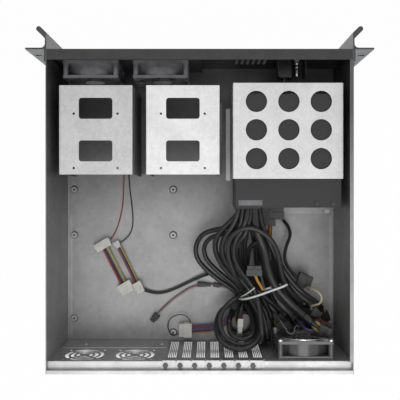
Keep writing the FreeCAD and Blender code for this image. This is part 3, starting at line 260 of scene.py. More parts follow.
def add(tree, kind, inputs=None, **settings):
    """Adds one shader node; an input is a value, a socket, or a node, which gives its first output."""
    piece = tree.nodes.new("ShaderNode" + kind)
    for name, value in settings.items():
        setattr(piece, name, value)
    for name, value in (inputs or {}).items():
        if isinstance(value, bpy.types.Node):
            value = value.outputs[0]
        if isinstance(value, bpy.types.NodeSocket):
            tree.links.new(value, piece.inputs[name])
        else:
            piece.inputs[name].default_value = value
    return piece


def ramp(tree, factor, stops):
    """A colour ramp from (position, hex colour) stops."""
    piece = add(tree, "ValToRGB", {"Fac": factor})
    band = piece.color_ramp
    while len(band.elements) < len(stops):
        band.elements.new(0.5)
    for element, (position, code) in zip(band.elements, stops):
        element.position = position
        element.color = linear(code)
    return piece


def spread(tree, factor, low, high, start=0.0, end=1.0):
    """Maps a pattern between two of its values to a range of plain values."""
    return add(tree, "MapRange", {
        "Value": factor, "From Min": start, "From Max": end, "To Min": low, "To Max": high})


def new_tree(name):
    """A new material and its empty node tree."""
    material = bpy.data.materials.new(name)
    material.use_nodes = True
    material.node_tree.nodes.clear()
    return material, material.node_tree


def surfaced(material, inputs):
    """Ends a material with one shader that has the given inputs."""
    tree = material.node_tree
    add(tree, "OutputMaterial", {"Surface": add(tree, "BsdfPrincipled", inputs)})
    return material


def metres(tree, scale=(1.0, 1.0, 1.0)):
    """Object coordinates, which are metres in the common frame, stretched by a scale."""
    coords = add(tree, "TexCoord").outputs["Object"]
    return add(tree, "Mapping", {"Vector": coords, "Scale": scale})


def dimmed(tree, tone, shade_and_tone_ramps):
    """Scales a colour along the axes, for painted shade and light and for darker tones; each ramp is (axis, scale at
    start, scale at end, start, end).
    """
    for axis, first, last, start, end in shade_and_tone_ramps:
        along = add(tree, "SeparateXYZ", {"Vector": metres(tree)}).outputs[axis]
        shade_and_tone_scale = spread(tree, along, first, last, start, end)
        tone = add(tree, "VectorMath", {0: tone, "Scale": shade_and_tone_scale}, operation="SCALE")
    return tone


def zinc_coated_sheet(name, dark, light, roughness, grain=0.5, spangle=7.0, metallic=0.9, shade_and_tone_ramps=()):
    """Cold-rolled steel with a zinc coat: cloudy crystals under fine rolling lines, dull where handled."""
    material, tree = new_tree(name)
    place_m = metres(tree)
    crystals = add(tree, "TexVoronoi", {"Vector": place_m, "Scale": 1000.0 / spangle, "Randomness": 1.0})
    clouds = add(tree, "TexNoise", {"Vector": place_m, "Scale": 28.0, "Detail": 5.0, "Roughness": 0.6})
    lines = add(tree, "TexNoise", {"Vector": metres(tree, (1500.0, 60.0, 1500.0)), "Scale": 1.0, "Detail": 3.0})
    smear = add(tree, "TexNoise", {"Vector": place_m, "Scale": 9.0, "Detail": 6.0, "Roughness": 0.65})
    crystal = add(tree, "RGBToBW", {"Color": crystals.outputs["Color"]})
    mixed = add(tree, "Math", {0: crystal, 1: 0.22}, operation="MULTIPLY")
    mixed = add(tree, "Math", {0: clouds, 1: 0.6, 2: mixed}, operation="MULTIPLY_ADD")
    mixed = add(tree, "Math", {0: lines, 1: 0.24 * grain, 2: mixed}, operation="MULTIPLY_ADD")
    return surfaced(material, {
        "Base Color": dimmed(tree, ramp(tree, mixed, [(0.22, dark), (0.78, light)]), shade_and_tone_ramps),
        "Roughness": spread(tree, smear, roughness - 0.08, roughness + 0.1, 0.3, 0.7),
        "Normal": add(tree, "Bump", {"Height": lines, "Strength": 0.12 * grain, "Distance": 0.0002}),
        "Metallic": metallic,
    })


def powder_coat(name, dark, light, roughness=0.5):
    """Baked powder paint: fine orange peel a millimetre across, a little dust in the hollows."""
    material, tree = new_tree(name)
    place_m = metres(tree)
    peel = add(tree, "TexNoise", {"Vector": place_m, "Scale": 900.0, "Detail": 2.0})
    dust = add(tree, "TexNoise", {"Vector": place_m, "Scale": 45.0, "Detail": 7.0, "Roughness": 0.7})
    return surfaced(material, {
        "Base Color": ramp(tree, dust, [(0.35, dark), (0.75, light)]),
        "Roughness": spread(tree, dust, roughness - 0.06, roughness + 0.12, 0.3, 0.7),
        "Normal": add(tree, "Bump", {"Height": peel, "Strength": 0.25, "Distance": 0.0001}),
    })


def anodised_aluminium(name, dark, light, roughness=0.32):
    """Extruded aluminium, etched and anodised: fine lines along the drawing direction under a satin film."""
    material, tree = new_tree(name)
    lines = add(tree, "TexNoise", {"Vector": metres(tree, (2500.0, 2500.0, 25.0)), "Scale": 1.0, "Detail": 3.0})
    clouds = add(tree, "TexNoise", {"Vector": metres(tree), "Scale": 30.0, "Detail": 4.0})
    tone = add(tree, "Math", {0: lines, 1: 0.5, 2: clouds}, operation="MULTIPLY_ADD")
    return surfaced(material, {
        "Base Color": ramp(tree, tone, [(0.5, dark), (1.0, light)]),
        "Roughness": spread(tree, clouds, roughness - 0.05, roughness + 0.08, 0.3, 0.7),
        "Normal": add(tree, "Bump", {"Height": lines, "Strength": 0.15, "Distance": 0.0001}),
        "Metallic": 1.0,
    })


def moulded_plastic(name, dark, light, roughness=0.4, grain_mm=0.6, depth=0.15, translucent=0.0):
    """Injection-moulded plastic: a fine spark-eroded texture, slightly uneven gloss from the flow."""
    material, tree = new_tree(name)
    place_m = metres(tree)
    grain = add(tree, "TexNoise", {"Vector": place_m, "Scale": 1000.0 / grain_mm, "Detail": 2.0})
    flow = add(tree, "TexNoise", {"Vector": place_m, "Scale": 60.0, "Detail": 4.0, "Distortion": 0.8})
    inputs = {
        "Base Color": ramp(tree, flow, [(0.3, dark), (0.7, light)]),
        "Roughness": spread(tree, flow, roughness - 0.05, roughness + 0.08, 0.3, 0.7),
        "Normal": add(tree, "Bump", {"Height": grain, "Strength": depth, "Distance": 0.0001}),
    }
    if translucent:
        inputs.update({"Subsurface Weight": translucent, "Subsurface Scale": 0.0015})
    return surfaced(material, inputs)


def nickel_plate(name, dark, light, roughness=0.18, shade_and_tone_ramps=()):
    """Barrel-plated nickel on steel: bright with small scuffs from tumbling."""
    material, tree = new_tree(name)
    scuffs = add(tree, "TexNoise", {"Vector": metres(tree), "Scale": 650.0, "Detail": 4.0, "Roughness": 0.7})
    return surfaced(material, {
        "Base Color": dimmed(tree, ramp(tree, scuffs, [(0.3, dark), (0.7, light)]), shade_and_tone_ramps),
        "Roughness": spread(tree, scuffs, roughness - 0.05, roughness + 0.15, 0.35, 0.7),
        "Normal": add(tree, "Bump", {"Height": scuffs, "Strength": 0.05, "Distance": 0.0001}),
        "Metallic": 1.0,
    })


# Millimetres between the crossings of the braid's threads
BRAID_PITCH = 4.0


def braided_sleeve(name, length, diameter):
    """Polyester monofilament braided over the wires: black crossing threads, glossy on top.

    The threads are drawn 4 mm apart, far wider than real ones, so that they show from a distance."""
    material, tree = new_tree(name)
    parts = add(tree, "SeparateXYZ", {"Vector": add(tree, "TexCoord").outputs["UV"]})
    across = max(5, round(math.pi * diameter / BRAID_PITCH))
    along = length / BRAID_PITCH
    waves = []
    for lean in (1, -1):
        turned = add(tree, "Math", {0: parts.outputs["Y"], 1: lean * across}, operation="MULTIPLY")
        phase = add(tree, "Math", {0: parts.outputs["X"], 1: along, 2: turned}, operation="MULTIPLY_ADD")
        angle = add(tree, "Math", {0: phase, 1: 2 * math.pi}, operation="MULTIPLY")
        waves.append(add(tree, "Math", {0: angle}, operation="SINE"))
    weave = add(tree, "Math", {0: waves[0], 1: waves[1]}, operation="MAXIMUM")
    height = spread(tree, weave, 0.0, 1.0, -0.3, 1.0)
    fuzz = add(tree, "TexNoise", {"Vector": metres(tree), "Scale": 260.0, "Detail": 4.0, "Roughness": 0.7})
    # the weave pattern is real, but its raised crossings are painted lighter and its hollows darker: painted
    # highlight and painted shade over random fuzz
    tone = add(tree, "Math", {0: fuzz, 1: 0.6}, operation="MULTIPLY")
    tone = add(tree, "Math", {0: height, 1: 0.5, 2: tone}, operation="MULTIPLY_ADD")
    return surfaced(material, {
        "Base Color": ramp(tree, tone, [(0.3, "030303"), (0.85, "353536")]),
        "Roughness": spread(tree, height, 0.48, 0.22),
        "Normal": add(tree, "Bump", {"Height": height, "Strength": 0.9, "Distance": 0.0009}),
        "Specular IOR Level": 0.3,
        "Coat Weight": 0.45,
        "Coat Roughness": 0.14,
    })


def wire_insulation(name, dark, light):
    """Extruded soft vinyl on stranded wire: smooth, faintly ridged by the strands under it."""
    material, tree = new_tree(name)
    place_m = metres(tree)
    strands = add(tree, "TexNoise", {"Vector": place_m, "Scale": 420.0, "Detail": 3.0})
    clouds = add(tree, "TexNoise", {"Vector": place_m, "Scale": 70.0, "Detail": 3.0})
    return surfaced(material, {
        "Base Color": ramp(tree, clouds, [(0.3, dark), (0.7, light)]),
        "Roughness": spread(tree, clouds, 0.3, 0.42, 0.3, 0.7),
        "Normal": add(tree, "Bump", {"Height": strands, "Strength": 0.12, "Distance": 0.0001}),
    })


# Colour scales along an axis, in metres: painted shade towards the front of the floor, a painted highlight on the
# floor's top, boss tops and folds, painted shade on the walls, painted shade down the cages' sides to the foot, and
# high screws are dull
# painted shade: the floor's colour darkens towards the front of the case
PAINTED_FRONT_SHADE = ("Y", 0.36, 1.0, -0.13, 0.03)
# painted highlight: everything from 1.6 mm up, the floor's top with its boss tops and folds, is brightened by 1.22
PAINTED_TOP_LIGHT = ("Z", 1.0, 1.22, 0.0013, 0.0016)
# painted shade: from 4.6 mm up the sheet darkens by 0.82, so the walls come out darker than the floor's top
PAINTED_WALL_SHADE = ("Z", 1.0, 0.82, 0.0046, 0.009)
# painted shade: the cages' sides darken to 0.22 towards their foot
PAINTED_FOOT_SHADE = ("Z", 0.22, 1.0, 0.03, 0.1)
DIM_ABOVE = ("Z", 1.0, 0.08, 0.03, 0.12)

floor_zinc = zinc_coated_sheet("zinc_coated_sheet", "8e8e8e", "a4a4a4", 0.5, metallic=0.65,
                               shade_and_tone_ramps=[PAINTED_FRONT_SHADE, PAINTED_TOP_LIGHT, PAINTED_WALL_SHADE])
panel_zinc = zinc_coated_sheet("zinc_coated_panel", "a6a6a6", "bebebe", 0.45)
bright_zinc = zinc_coated_sheet("bright_zinc_sheet", "cacaca", "e8e8e8", 0.4, grain=0.8, spangle=4.0,
                                shade_and_tone_ramps=[PAINTED_FOOT_SHADE])
# the two drive cages are the same sheet: this darker copy for the first cage is painted shade, the bright one above
# is the lit copy
shaded_cage_zinc = zinc_coated_sheet("shaded_cage_zinc_sheet", "adadad", "cbcbcb", 0.42, grain=0.8, spangle=4.0,
                              shade_and_tone_ramps=[PAINTED_FOOT_SHADE])
cover_zinc = zinc_coated_sheet("bright_zinc_cover", "959595", "b2b2b2", 0.42, grain=0.8, spangle=4.0)
satin_zinc = zinc_coated_sheet("satin_zinc_plate", "bdbdbd", "d6d6d6", 0.5, grain=0.6, spangle=3.0)
black_powder = powder_coat("black_powder_coat", "1b1b1c", "2b2b2c", 0.45)
panel_powder = powder_coat("satin_powder_coat", "2b2b2c", "3d3d3e", 0.42)
supply_paint = powder_coat("matt_black_enamel", "1d1d1e", "29292a", 0.5)
plate_metal = powder_coat("plate_metal", "6e6e71", "919195", 0.4)
label_foil = powder_coat("label_foil", "b9b9b6", "cfcfcc", 0.42)
grip_aluminium = anodised_aluminium("anodised_aluminium", "3f4042", "5c5d60")
black_nylon = moulded_plastic("black_moulded_nylon", "0f0f10", "1c1c1d", 0.38)
# painted sheen: the fans' black plastic is given a mid grey
painted_sheen_fan_nylon = moulded_plastic("painted_sheen_fan_nylon", "47474a", "5e5e60", 0.2)
# painted light: a lighter copy of the fan plastic for the front fans, against the shade of the front panel
painted_lit_front_fan_nylon = moulded_plastic("painted_lit_front_fan_nylon", "666669", "808083", 0.18)
black_abs = moulded_plastic("black_moulded_abs", "141415", "222223", 0.3)
natural_nylon = moulded_plastic("natural_nylon", "d9d8d2", "ecebe6", 0.42, translucent=0.25)
grey_nylon = moulded_plastic("grey_nylon", "5e5f5e", "767775", 0.42)
slate_nylon = moulded_plastic("slate_nylon", "343536", "424344", 0.42)
dark_nylon = moulded_plastic("dark_nylon", "121213", "1e1e1f", 0.45)
tie_nylon = moulded_plastic("tie_nylon", "dededc", "f0f0ee", 0.4, translucent=0.3)
shrink_tube = moulded_plastic("shrink_tube", "0d0d0e", "1a1a1b", 0.35, 0.8, 0.1)
bright_nickel = nickel_plate("bright_nickel", "b9b9b8", "e2e2e0")
screw_nickel = nickel_plate("screw_nickel", "b9b9b8", "e2e2e0", 0.3, shade_and_tone_ramps=[DIM_ABOVE])
WIRES = {
    "black": wire_insulation("black_vinyl", "141415", "202022"),
    "red": wire_insulation("red_vinyl", "8e2420", "a8322c"),
    "yellow": wire_insulation("yellow_vinyl", "c9a83c", "ddc061"),
    "orange": wire_insulation("orange_vinyl", "c9762c", "dc8f45"),
    "white": wire_insulation("white_vinyl", "cfcdc4", "e2e0d8"),
    "blue": wire_insulation("blue_vinyl", "33598c", "456fa6"),
    "green": wire_insulation("green_vinyl", "3d6b45", "55835a"),
    "purple": wire_insulation("purple_vinyl", "6a4470", "845a8a"),
    "rose": wire_insulation("faded_red_vinyl", "97595a", "ad7274"),
    "straw": wire_insulation("pale_yellow_vinyl", "b3a45e", "cbbd7c"),
    "pale": wire_insulation("pale_grey_vinyl", "a09fa0", "b8b6b4"),
}

FINISH = {
    "chassis_tub": floor_zinc, "rear_panel": panel_zinc, "port_cover": panel_zinc, "psu_shelf": floor_zinc,
    "front_panel": panel_powder, "fan_bracket": black_powder, "control_bracket": black_powder,
    "handle_left": grip_aluminium, "handle_right": grip_aluminium,
    "drive_cage_a": shaded_cage_zinc, "drive_cage_b": bright_zinc, "psu_cage": satin_zinc,
    "psu_housing": supply_paint, "psu_cover": supply_paint, "psu_grommet": black_abs,
    "mains_inlet": black_abs, "mains_switch_body": black_abs, "mains_switch_rocker": black_abs,
    "port_block": black_abs, "power_switch_body": bright_nickel, "power_button": bright_nickel,
    "rear_fan_guard": bright_nickel, "psu_fan_guard": screw_nickel, "screws": screw_nickel,
}
for name, part in nodes.items():
    finish = FINISH.get(name, black_nylon)
    if name.startswith("slot_cover"):
        finish = cover_zinc
    elif "fan_frame" in name or "impeller" in name:
        finish = painted_lit_front_fan_nylon if name.startswith("front_fan_frame") else painted_sheen_fan_nylon
    part.data.materials.clear()
    part.data.materials.append(finish)


def link(piece):
    scene.collection.objects.link(piece)
    return piece


def mesh_piece(name, mesh, material):
    """Turns a bmesh into an object of one material."""
    data = bpy.data.meshes.new(name)
    mesh.to_mesh(data)
    mesh.free()
    data.materials.append(material)
    return link(bpy.data.objects.new(name, data))


def on_case(piece):
    """Lets a piece ride on the case."""
    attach(piece, "case")
    return piece


def spline_in(data, points, closed=False):
    """Puts one smooth spline with the given control points into a curve."""
    spline = data.splines.new("NURBS")
    spline.points.add(len(points) - 1)
    for point, at in zip(spline.points, points):
        point.co = (*at, 1.0)
    spline.order_u = 3
    spline.use_endpoint_u = not closed
    spline.use_cyclic_u = closed
    return spline


def new_curve(name):
    data = bpy.data.curves.new(name, "CURVE")
    data.dimensions = "3D"
    data.resolution_u = 6
    return data


# How narrow a sleeve ends, inside the collar that takes over from it
END_TAPER = 0.45


def curve_piece(name, points, radius, material, narrow=False):
    """A tube on one smooth spline whose control points are the given places."""
    data = new_curve(name)
    data.bevel_depth = radius
    data.bevel_resolution = 5
    data.use_fill_caps = True
    spline = spline_in(data, points)
    if narrow:
        spline.points[-1].radius = END_TAPER
    data.materials.append(material)
    return link(bpy.data.objects.new(name, data))


def final_mesh(piece):
    """The mesh of an object as its curve or its modifiers shape it."""
    bpy.context.view_layer.update()
    return bpy.data.meshes.new_from_object(piece.evaluated_get(bpy.context.evaluated_depsgraph_get()))


def spline_line(points, closed=False):
    """Points along the smooth spline of a route, for pieces that follow it."""
    data = new_curve("line")
    spline_in(data, points, closed)
    holder = link(bpy.data.objects.new("line", data))
    mesh = final_mesh(holder)
    line = [v.co.copy() for v in mesh.vertices]
    bpy.data.meshes.remove(mesh)
    bpy.data.objects.remove(holder)
    bpy.data.curves.remove(data)
    return line


def add_mesh(name, verts, faces, materials, indices=None, flat=False):
    mesh = bpy.data.meshes.new(name)
    mesh.from_pydata([tuple(v) for v in verts], [], faces)
    for material in materials:
        mesh.materials.append(material)
    for k, polygon in enumerate(mesh.polygons):
        polygon.use_smooth = not flat
        if indices:
            polygon.material_index = indices[k]
    mesh.update()
    return link(bpy.data.objects.new(name, mesh))


# How far loose wires waver, in metres, and how the waver runs from wire to wire and along one
RIPPLE, RIPPLE_BETWEEN, RIPPLE_ALONG = 0.0004, 2.1, 0.37


def wire_ribbon(name, line, wires, sides=10, fan=None):
    """Insulated wires side by side along one line: each wire is (sideways, upward, radius, material)."""
    verts, faces, indices = [], [], []
    count = len(line)
    materials = []
    for k, (sideways, upward, radius, material) in enumerate(wires):
        if material not in materials:
            materials.append(material)
        first = len(verts)
        for step, at in enumerate(line):
            ahead = line[min(step + 1, count - 1)] - line[max(step - 1, 0)]
            ahead.normalize()
            side = ahead.cross(UP)
            side = side.normalized() if side.length > 0.05 else Vector((1, 0, 0))
            rise = side.cross(ahead)
            fanned = fan(step / (count - 1)) if fan else 1.0
            lift = RIPPLE * math.sin(k * RIPPLE_BETWEEN + step * RIPPLE_ALONG)
            centre = at + side * (sideways * fanned) + rise * (upward * fanned + lift)
            for turn in range(sides):
                angle = 2 * math.pi * turn / sides
                verts.append(centre + side * (radius * math.cos(angle)) + rise * (radius * math.sin(angle)))
        for step in range(count - 1):
            for turn in range(sides):
                a = first + step * sides + turn
                b = first + step * sides + (turn + 1) % sides
                faces.append((a, b, b + sides, a + sides))
                indices.append(materials.index(material))
        faces.append(tuple(first + turn for turn in reversed(range(sides))))
        faces.append(tuple(first + (count - 1) * sides + turn for turn in range(sides)))
        indices += [materials.index(material)] * 2
    return add_mesh(name, verts, faces, materials, indices)


def skin(mesh, rings):
    """Joins each ring of vertices to the next one by faces."""
    sides = len(rings[0])
    for a, b in zip(rings, rings[1:]):
        for k in range(sides):
            mesh.faces.new((a[k], b[k], b[(k + 1) % sides], a[(k + 1) % sides]))


def orient(at, way):
    """A frame whose Y axis points along the given way and whose X axis is level."""
    forward = Vector(way).normalized()
    side = forward.cross(UP)
    side = side.normalized() if side.length > 1e-4 else Vector((1, 0, 0))
    rise = side.cross(forward)
    turn = Matrix((side, forward, rise)).transposed().to_4x4()
    return Matrix.Translation(at) @ turn


def box_into(mesh, low, high):
    """Adds a block to a bmesh."""
    made = bmesh.ops.create_cube(mesh, size=1.0)
    size = Vector(high) - Vector(low)
    middle = (Vector(high) + Vector(low)) / 2
    for vert in made["verts"]:
        vert.co = Vector((vert.co.x * size.x, vert.co.y * size.y, vert.co.z * size.z)) + middle


# A plug in shares of its length and height: the shell ends at the neck, and ribs and latch lie on the shell
NECK = 0.62
RIB_ENDS = (0.1, 0.56)
RIB_HEIGHTS = ((-0.22, -0.08), (0.08, 0.22))
LATCH_ENDS = (0.12, 0.78)
LIP_START = 0.68
POCKET_SHARE = 0.34
# in metres: how deep the contact cells and the wire holes are sunk, and how far ribs stand out
CELL_DEPTH, HOLE_DEPTH, RIB_OUT = 3.5 * MM, 2.5 * MM, 0.35 * MM


def plug_piece(name, at, way, size, ways, rows, material=dark_nylon):
    """A plug housing: wire holes at the back, a stepped nose with contact cells, ribs and a sprung latch."""
    width, length, height = (s * MM for s in size)
    mesh = bmesh.new()
    wall = min(0.9 * MM, width * 0.12)
    neck = length * NECK
    box_into(mesh, (-width / 2, 0, -height / 2), (width / 2, neck, height / 2))
    box_into(mesh, (-width / 2 + wall, neck - 0.2 * MM, -height / 2 + wall),
             (width / 2 - wall, length, height / 2 - wall))
    bmesh.ops.bevel(mesh, geom=list(mesh.edges), offset=min(0.45 * MM, width * 0.06), segments=2,
                    affect="EDGES", profile=0.6)
    # cells through the nose and wire holes at the back, as sunk pockets
    pitch = (width - 2 * wall) / ways
    tall = (height - 2 * wall) / rows
    cut = bpy.data.meshes.new(name + "_cut")
    pockets = bmesh.new()
    for row in range(rows):
        for k in range(ways):
            x = -width / 2 + wall + pitch * (k + 0.5)
            z = -height / 2 + wall + tall * (row + 0.5)
            half = min(pitch, tall) * POCKET_SHARE
            box_into(pockets, (x - half, length - CELL_DEPTH, z - half), (x + half, length + MM, z + half))
            box_into(pockets, (x - half, -MM, z - half), (x + half, HOLE_DEPTH, z + half))
    pockets.to_mesh(cut)
    pockets.free()
    # ribs along the sides and the latch on the broad face
    for edge in (-width / 2, width / 2):
        for low, high in RIB_HEIGHTS:
            box_into(mesh, (edge - RIB_OUT, length * RIB_ENDS[0], height * low),
                     (edge + RIB_OUT, length * RIB_ENDS[1], height * high))
    reach, top = min(2.2 * MM, width * 0.2), height / 2
    box_into(mesh, (-reach, length * LATCH_ENDS[0], top - 0.2 * MM), (reach, length * LATCH_ENDS[1], top + 0.8 * MM))
    box_into(mesh, (-reach, length * LIP_START, top + 0.3 * MM), (reach, length * LATCH_ENDS[1], top + 1.3 * MM))
    piece = mesh_piece(name, mesh, material)
    cutter = link(bpy.data.objects.new(name + "_cut", cut))
    carve = piece.modifiers.new("cells", "BOOLEAN")
    carve.operation = "DIFFERENCE"
    carve.solver = "EXACT"
    carve.use_self = True
    carve.object = cutter
    carved = final_mesh(piece)
    piece.modifiers.clear()
    piece.data = carved
    bpy.data.objects.remove(cutter)
    piece.data.transform(orient(place(*at), way))
    return on_case(piece)


# Plug housings, in millimetres: middle of the back face, the way it points, width, length and height,
# cells, rows, and the plastic where it isn't the dark nylon
PLUGS = {
    "white_plug_upper": ((158, 275.5, 8), (-0.5, 0.86, 0), (27, 13, 12), 4, 1, natural_nylon),
    "white_plug_small": ((135, 276, 7), (-0.5, 0.86, 0), (9, 11, 8), 3, 1, natural_nylon),
    "white_plug_lower_a": ((123, 341.5, 8), (-0.5, 0.86, 0), (23, 18, 12), 4, 1, natural_nylon),
    "white_plug_lower_b": ((102.5, 340.5, 8), (-0.5, 0.86, 0), (14, 18, 12), 3, 1, natural_nylon),
    "white_plug_rear": ((14, 415.5, 9), (1, 0, 0), (22, 20, 14), 4, 1, natural_nylon),
    "white_plug_coil": ((-61, 393, 43.5), (0.08, 0.9, 0.42), (8, 20, 15), 1, 4, natural_nylon),
    "grey_plug_rear": ((-103.5, 250, 38), (0, -1, 0), (22, 20, 14), 5, 2, slate_nylon),
    "grey_plug_wide": ((-107, 240, 38.5), (0, -1, 0), (42, 19, 13), 10, 2, slate_nylon),
    "grey_plug_top": ((-80, 322, 69.5), (0, -1, 0), (23, 15, 9), 4, 2, slate_nylon),
    "black_plug_front": ((-150, 332, 30), (-0.95, 0.3, 0), (22, 22, 14), 5, 2),
    "grey_plug_board": ((-186.5, 400.5, 24.5), (-0.62, 0.75, -0.15), (18, 15, 12), 4, 2, grey_nylon),
    "dark_plug_loop": ((-169, 404, 13.5), (-0.6, 0.75, -0.1), (12, 16, 9), 2, 2),
    "dark_plug_processor_a": ((-144.5, 400.5, 22), (-0.6, 0.75, -0.3), (10, 14, 9), 2, 2),
    "dark_plug_drive": ((-49.5, 379.5, 30), (-0.55, -0.7, -0.4), (8.5, 14, 7), 3, 1),
    "dark_plug_graphics_a": ((-44.5, 371.5, 30), (-0.75, -0.6, -0.2), (8.5, 14, 7), 3, 2),
    "dark_plug_graphics_b": ((-103, 411, 24.7), (-0.2, 0.97, -0.1), (8.5, 16, 9), 2, 2),
    "dark_plug_processor_b": ((-113.5, 407, 25.7), (-0.22, 0.97, -0.1), (8.5, 16, 9), 2, 2),
    "dark_plug_supply_c": ((-110.5, 390, 18), (-0.6, 0.8, 0), (12, 16, 8), 3, 2),
    "dark_plug_supply_d": ((-125, 387, 13), (-0.65, 0.75, 0), (12, 16, 8), 3, 2),
    "dark_plug_coil": ((-66, 352, 37), (-0.8, -0.5, -0.3), (9, 13, 7), 2, 2),
    "dark_plug_supply_a": ((-100.2, 422.5, 36), (0.1, 0.1, -0.98), (10, 16, 8), 2, 2),
    "dark_plug_supply_b": ((-91.2, 424, 40), (0.05, 0.05, -0.99), (10, 16, 8), 2, 2),
    "grey_plug_arch": ((-171.5, 378.8, 37), (-0.8, 0.5, -0.2), (14, 16, 10), 3, 2, grey_nylon),
    "grey_plug_supply": ((-175, 398.5, 77), (-0.93, 0.35, 0), (14, 17, 11), 5, 2, slate_nylon),
    "dark_plug_under_a": ((-127.5, 390, 10), (-0.5, 0.85, 0), (12, 14, 8), 3, 2),
    "dark_plug_under_b": ((-149, 386, 15), (-0.7, 0.7, 0), (12, 14, 8), 3, 2),
    "dark_plug_side": ((-190, 384, 33), (-0.4, 0.85, -0.3), (13, 15, 9), 3, 2),
    "dark_plug_under_c": ((-111.5, 391, 9), (-0.4, 0.9, 0), (12, 14, 8), 3, 2),
    "dark_plug_nest": ((-60.5, 403, 9), (-0.2, 0.97, 0), (10, 13, 8), 2, 2),
    "sensor_sleeve_a": ((5.5, 344.3, 5.5), (-1, 0.03, 0), (7, 21, 6), 2, 1),
    "sensor_sleeve_b": ((-20, 344.8, 5.2), (-1, 0.15, 0), (6, 16, 4.5), 2, 1),
    "sensor_plug": ((68.5, 392, 5.8), (0.66, 0.75, 0), (10, 14, 8), 3, 1),
}
plugs = {name: plug_piece(name, *form) for name, form in PLUGS.items()}
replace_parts(plugs["white_plug_upper"], "white_connectors")
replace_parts(plugs["grey_plug_rear"], "dark_connectors")


# The tie's place: its plane stands across the bundle, and its loop goes round the outermost strands.
# The loop's corners are (sideways, upward) from the middle, in millimetres.
TIE_MIDDLE = place(-95.0, 348.6, 38.5)
TIE_SIDE = Vector((-0.925, -0.381, 0.0)).normalized()
TIE_LOOP = [
    (-40.5, -22), (-39, -10), (-34, 6), (-26, 18), (-12, 27), (4, 31), (18, 34.5), (31, 38), (38.5, 33), (39, 20),
    (34, 12), (25, 8.5), (15, 6), (6, 0), (-6, -6.5), (-16, -9.5), (-27, -18), (-34, -26.5), (-39.5, -26.5),
]
TIE_TAIL = [(-57, 364, 17), (-59, 361, 30), (-64, 355, 52), (-72, 348, 65), (-81, 340, 68)]
TIE_HEAD = (-41, -23)
BAND_WIDTH, BAND_THICK, TOOTH = 2.9 * MM, 1.1 * MM, 0.2 * MM
EDGE_ROUND = 0.1 * MM
# The tail's section, in shares of the band's width and thickness, and a direction across which it lies flat
TAIL_SECTION = [(-0.4, 0), (-0.35, -0.5), (0.35, -0.5), (0.4, 0), (0.35, 0.5), (-0.35, 0.5)]
TAIL_ACROSS = Vector((0.7, -0.5, 0.5))


def band_tie():
    """A nylon tie pulled round the bundle: a flat band with its head, and the tail laid over the strands."""
    across = TIE_SIDE.cross(UP)
    corners = [TIE_MIDDLE + TIE_SIDE * (s * MM) + UP * (h * MM) for s, h in TIE_LOOP]
    loop = spline_line(corners, closed=True)
    if (loop[0] - loop[-1]).length < 1e-6:
        loop.pop()
    mesh = bmesh.new()
    rings = []
    count = len(loop)
    for k, at in enumerate(loop):
        ahead = (loop[(k + 1) % count] - loop[k - 1]).normalized()
        out = ahead.cross(across).normalized()
        out = out if out.dot(at - TIE_MIDDLE) > 0 else -out
        tooth = TOOTH if k % 2 else 0.0
        section = ((tooth, -0.3), (EDGE_ROUND, -0.5), (BAND_THICK, -0.5),
                   (BAND_THICK, 0.5), (EDGE_ROUND, 0.5), (tooth, 0.3))
        rings.append([mesh.verts.new(at - out * deep + across * (along * BAND_WIDTH)) for deep, along in section])
    skin(mesh, rings + rings[:1])
    tail = spline_line([place(*at) for at in TIE_TAIL])
    rings = []
    for k, at in enumerate(tail):
        ahead = (tail[min(k + 1, len(tail) - 1)] - tail[max(k - 1, 0)]).normalized()
        flat = ahead.cross(TAIL_ACROSS).normalized()
        deep = flat.cross(ahead)
        rings.append([mesh.verts.new(at + flat * (a * BAND_WIDTH) + deep * (b * BAND_THICK))
                      for a, b in TAIL_SECTION])
    skin(mesh, rings)
    mesh.faces.new(reversed(rings[0]))
    mesh.faces.new(rings[-1])
    bmesh.ops.recalc_face_normals(mesh, faces=list(mesh.faces))
    # the head: a block with the slot's frame standing out at its two ends
    block = bmesh.new()
    box_into(block, (-3.2 * MM, -2.6 * MM, -3.4 * MM), (3.2 * MM, 2.6 * MM, 3.4 * MM))
    box_into(block, (-1.6 * MM, -3.3 * MM, -2.2 * MM), (1.6 * MM, 3.1 * MM, 2.2 * MM))
    bmesh.ops.bevel(block, geom=list(block.edges), offset=0.5 * MM, segments=2, affect="EDGES")
    head = bpy.data.meshes.new("tie_head")
    block.to_mesh(head)
    block.free()
    at = TIE_MIDDLE + TIE_SIDE * (TIE_HEAD[0] * MM) + UP * (TIE_HEAD[1] * MM)
    head.transform(Matrix.Translation(at) @ Matrix((TIE_SIDE, across, UP)).transposed().to_4x4())
    mesh.from_mesh(head)
    bpy.data.meshes.remove(head)
    piece = mesh_piece("bundle_tie", mesh, tie_nylon)
    for polygon in piece.data.polygons:
        polygon.use_smooth = len(polygon.vertices) == 4
    return on_case(piece)


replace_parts(band_tie(), "cable_ties")

VINYL = {"front_lead": "black", "fan_lead_red": "red", "fan_lead_black": "black"}


def flat_row(colours, pitch, radius, layers=1):
    """Wires side by side, in one or more layers."""
    names = colours.split()
    per = math.ceil(len(names) / layers)
    row = []
    for k, colour in enumerate(names):
        across = (k % per - (per - 1) / 2) * pitch * MM
        upward = (k // per - (layers - 1) / 2) * pitch * MM
        row.append((across, upward, radius * MM, WIRES[colour]))
    return row


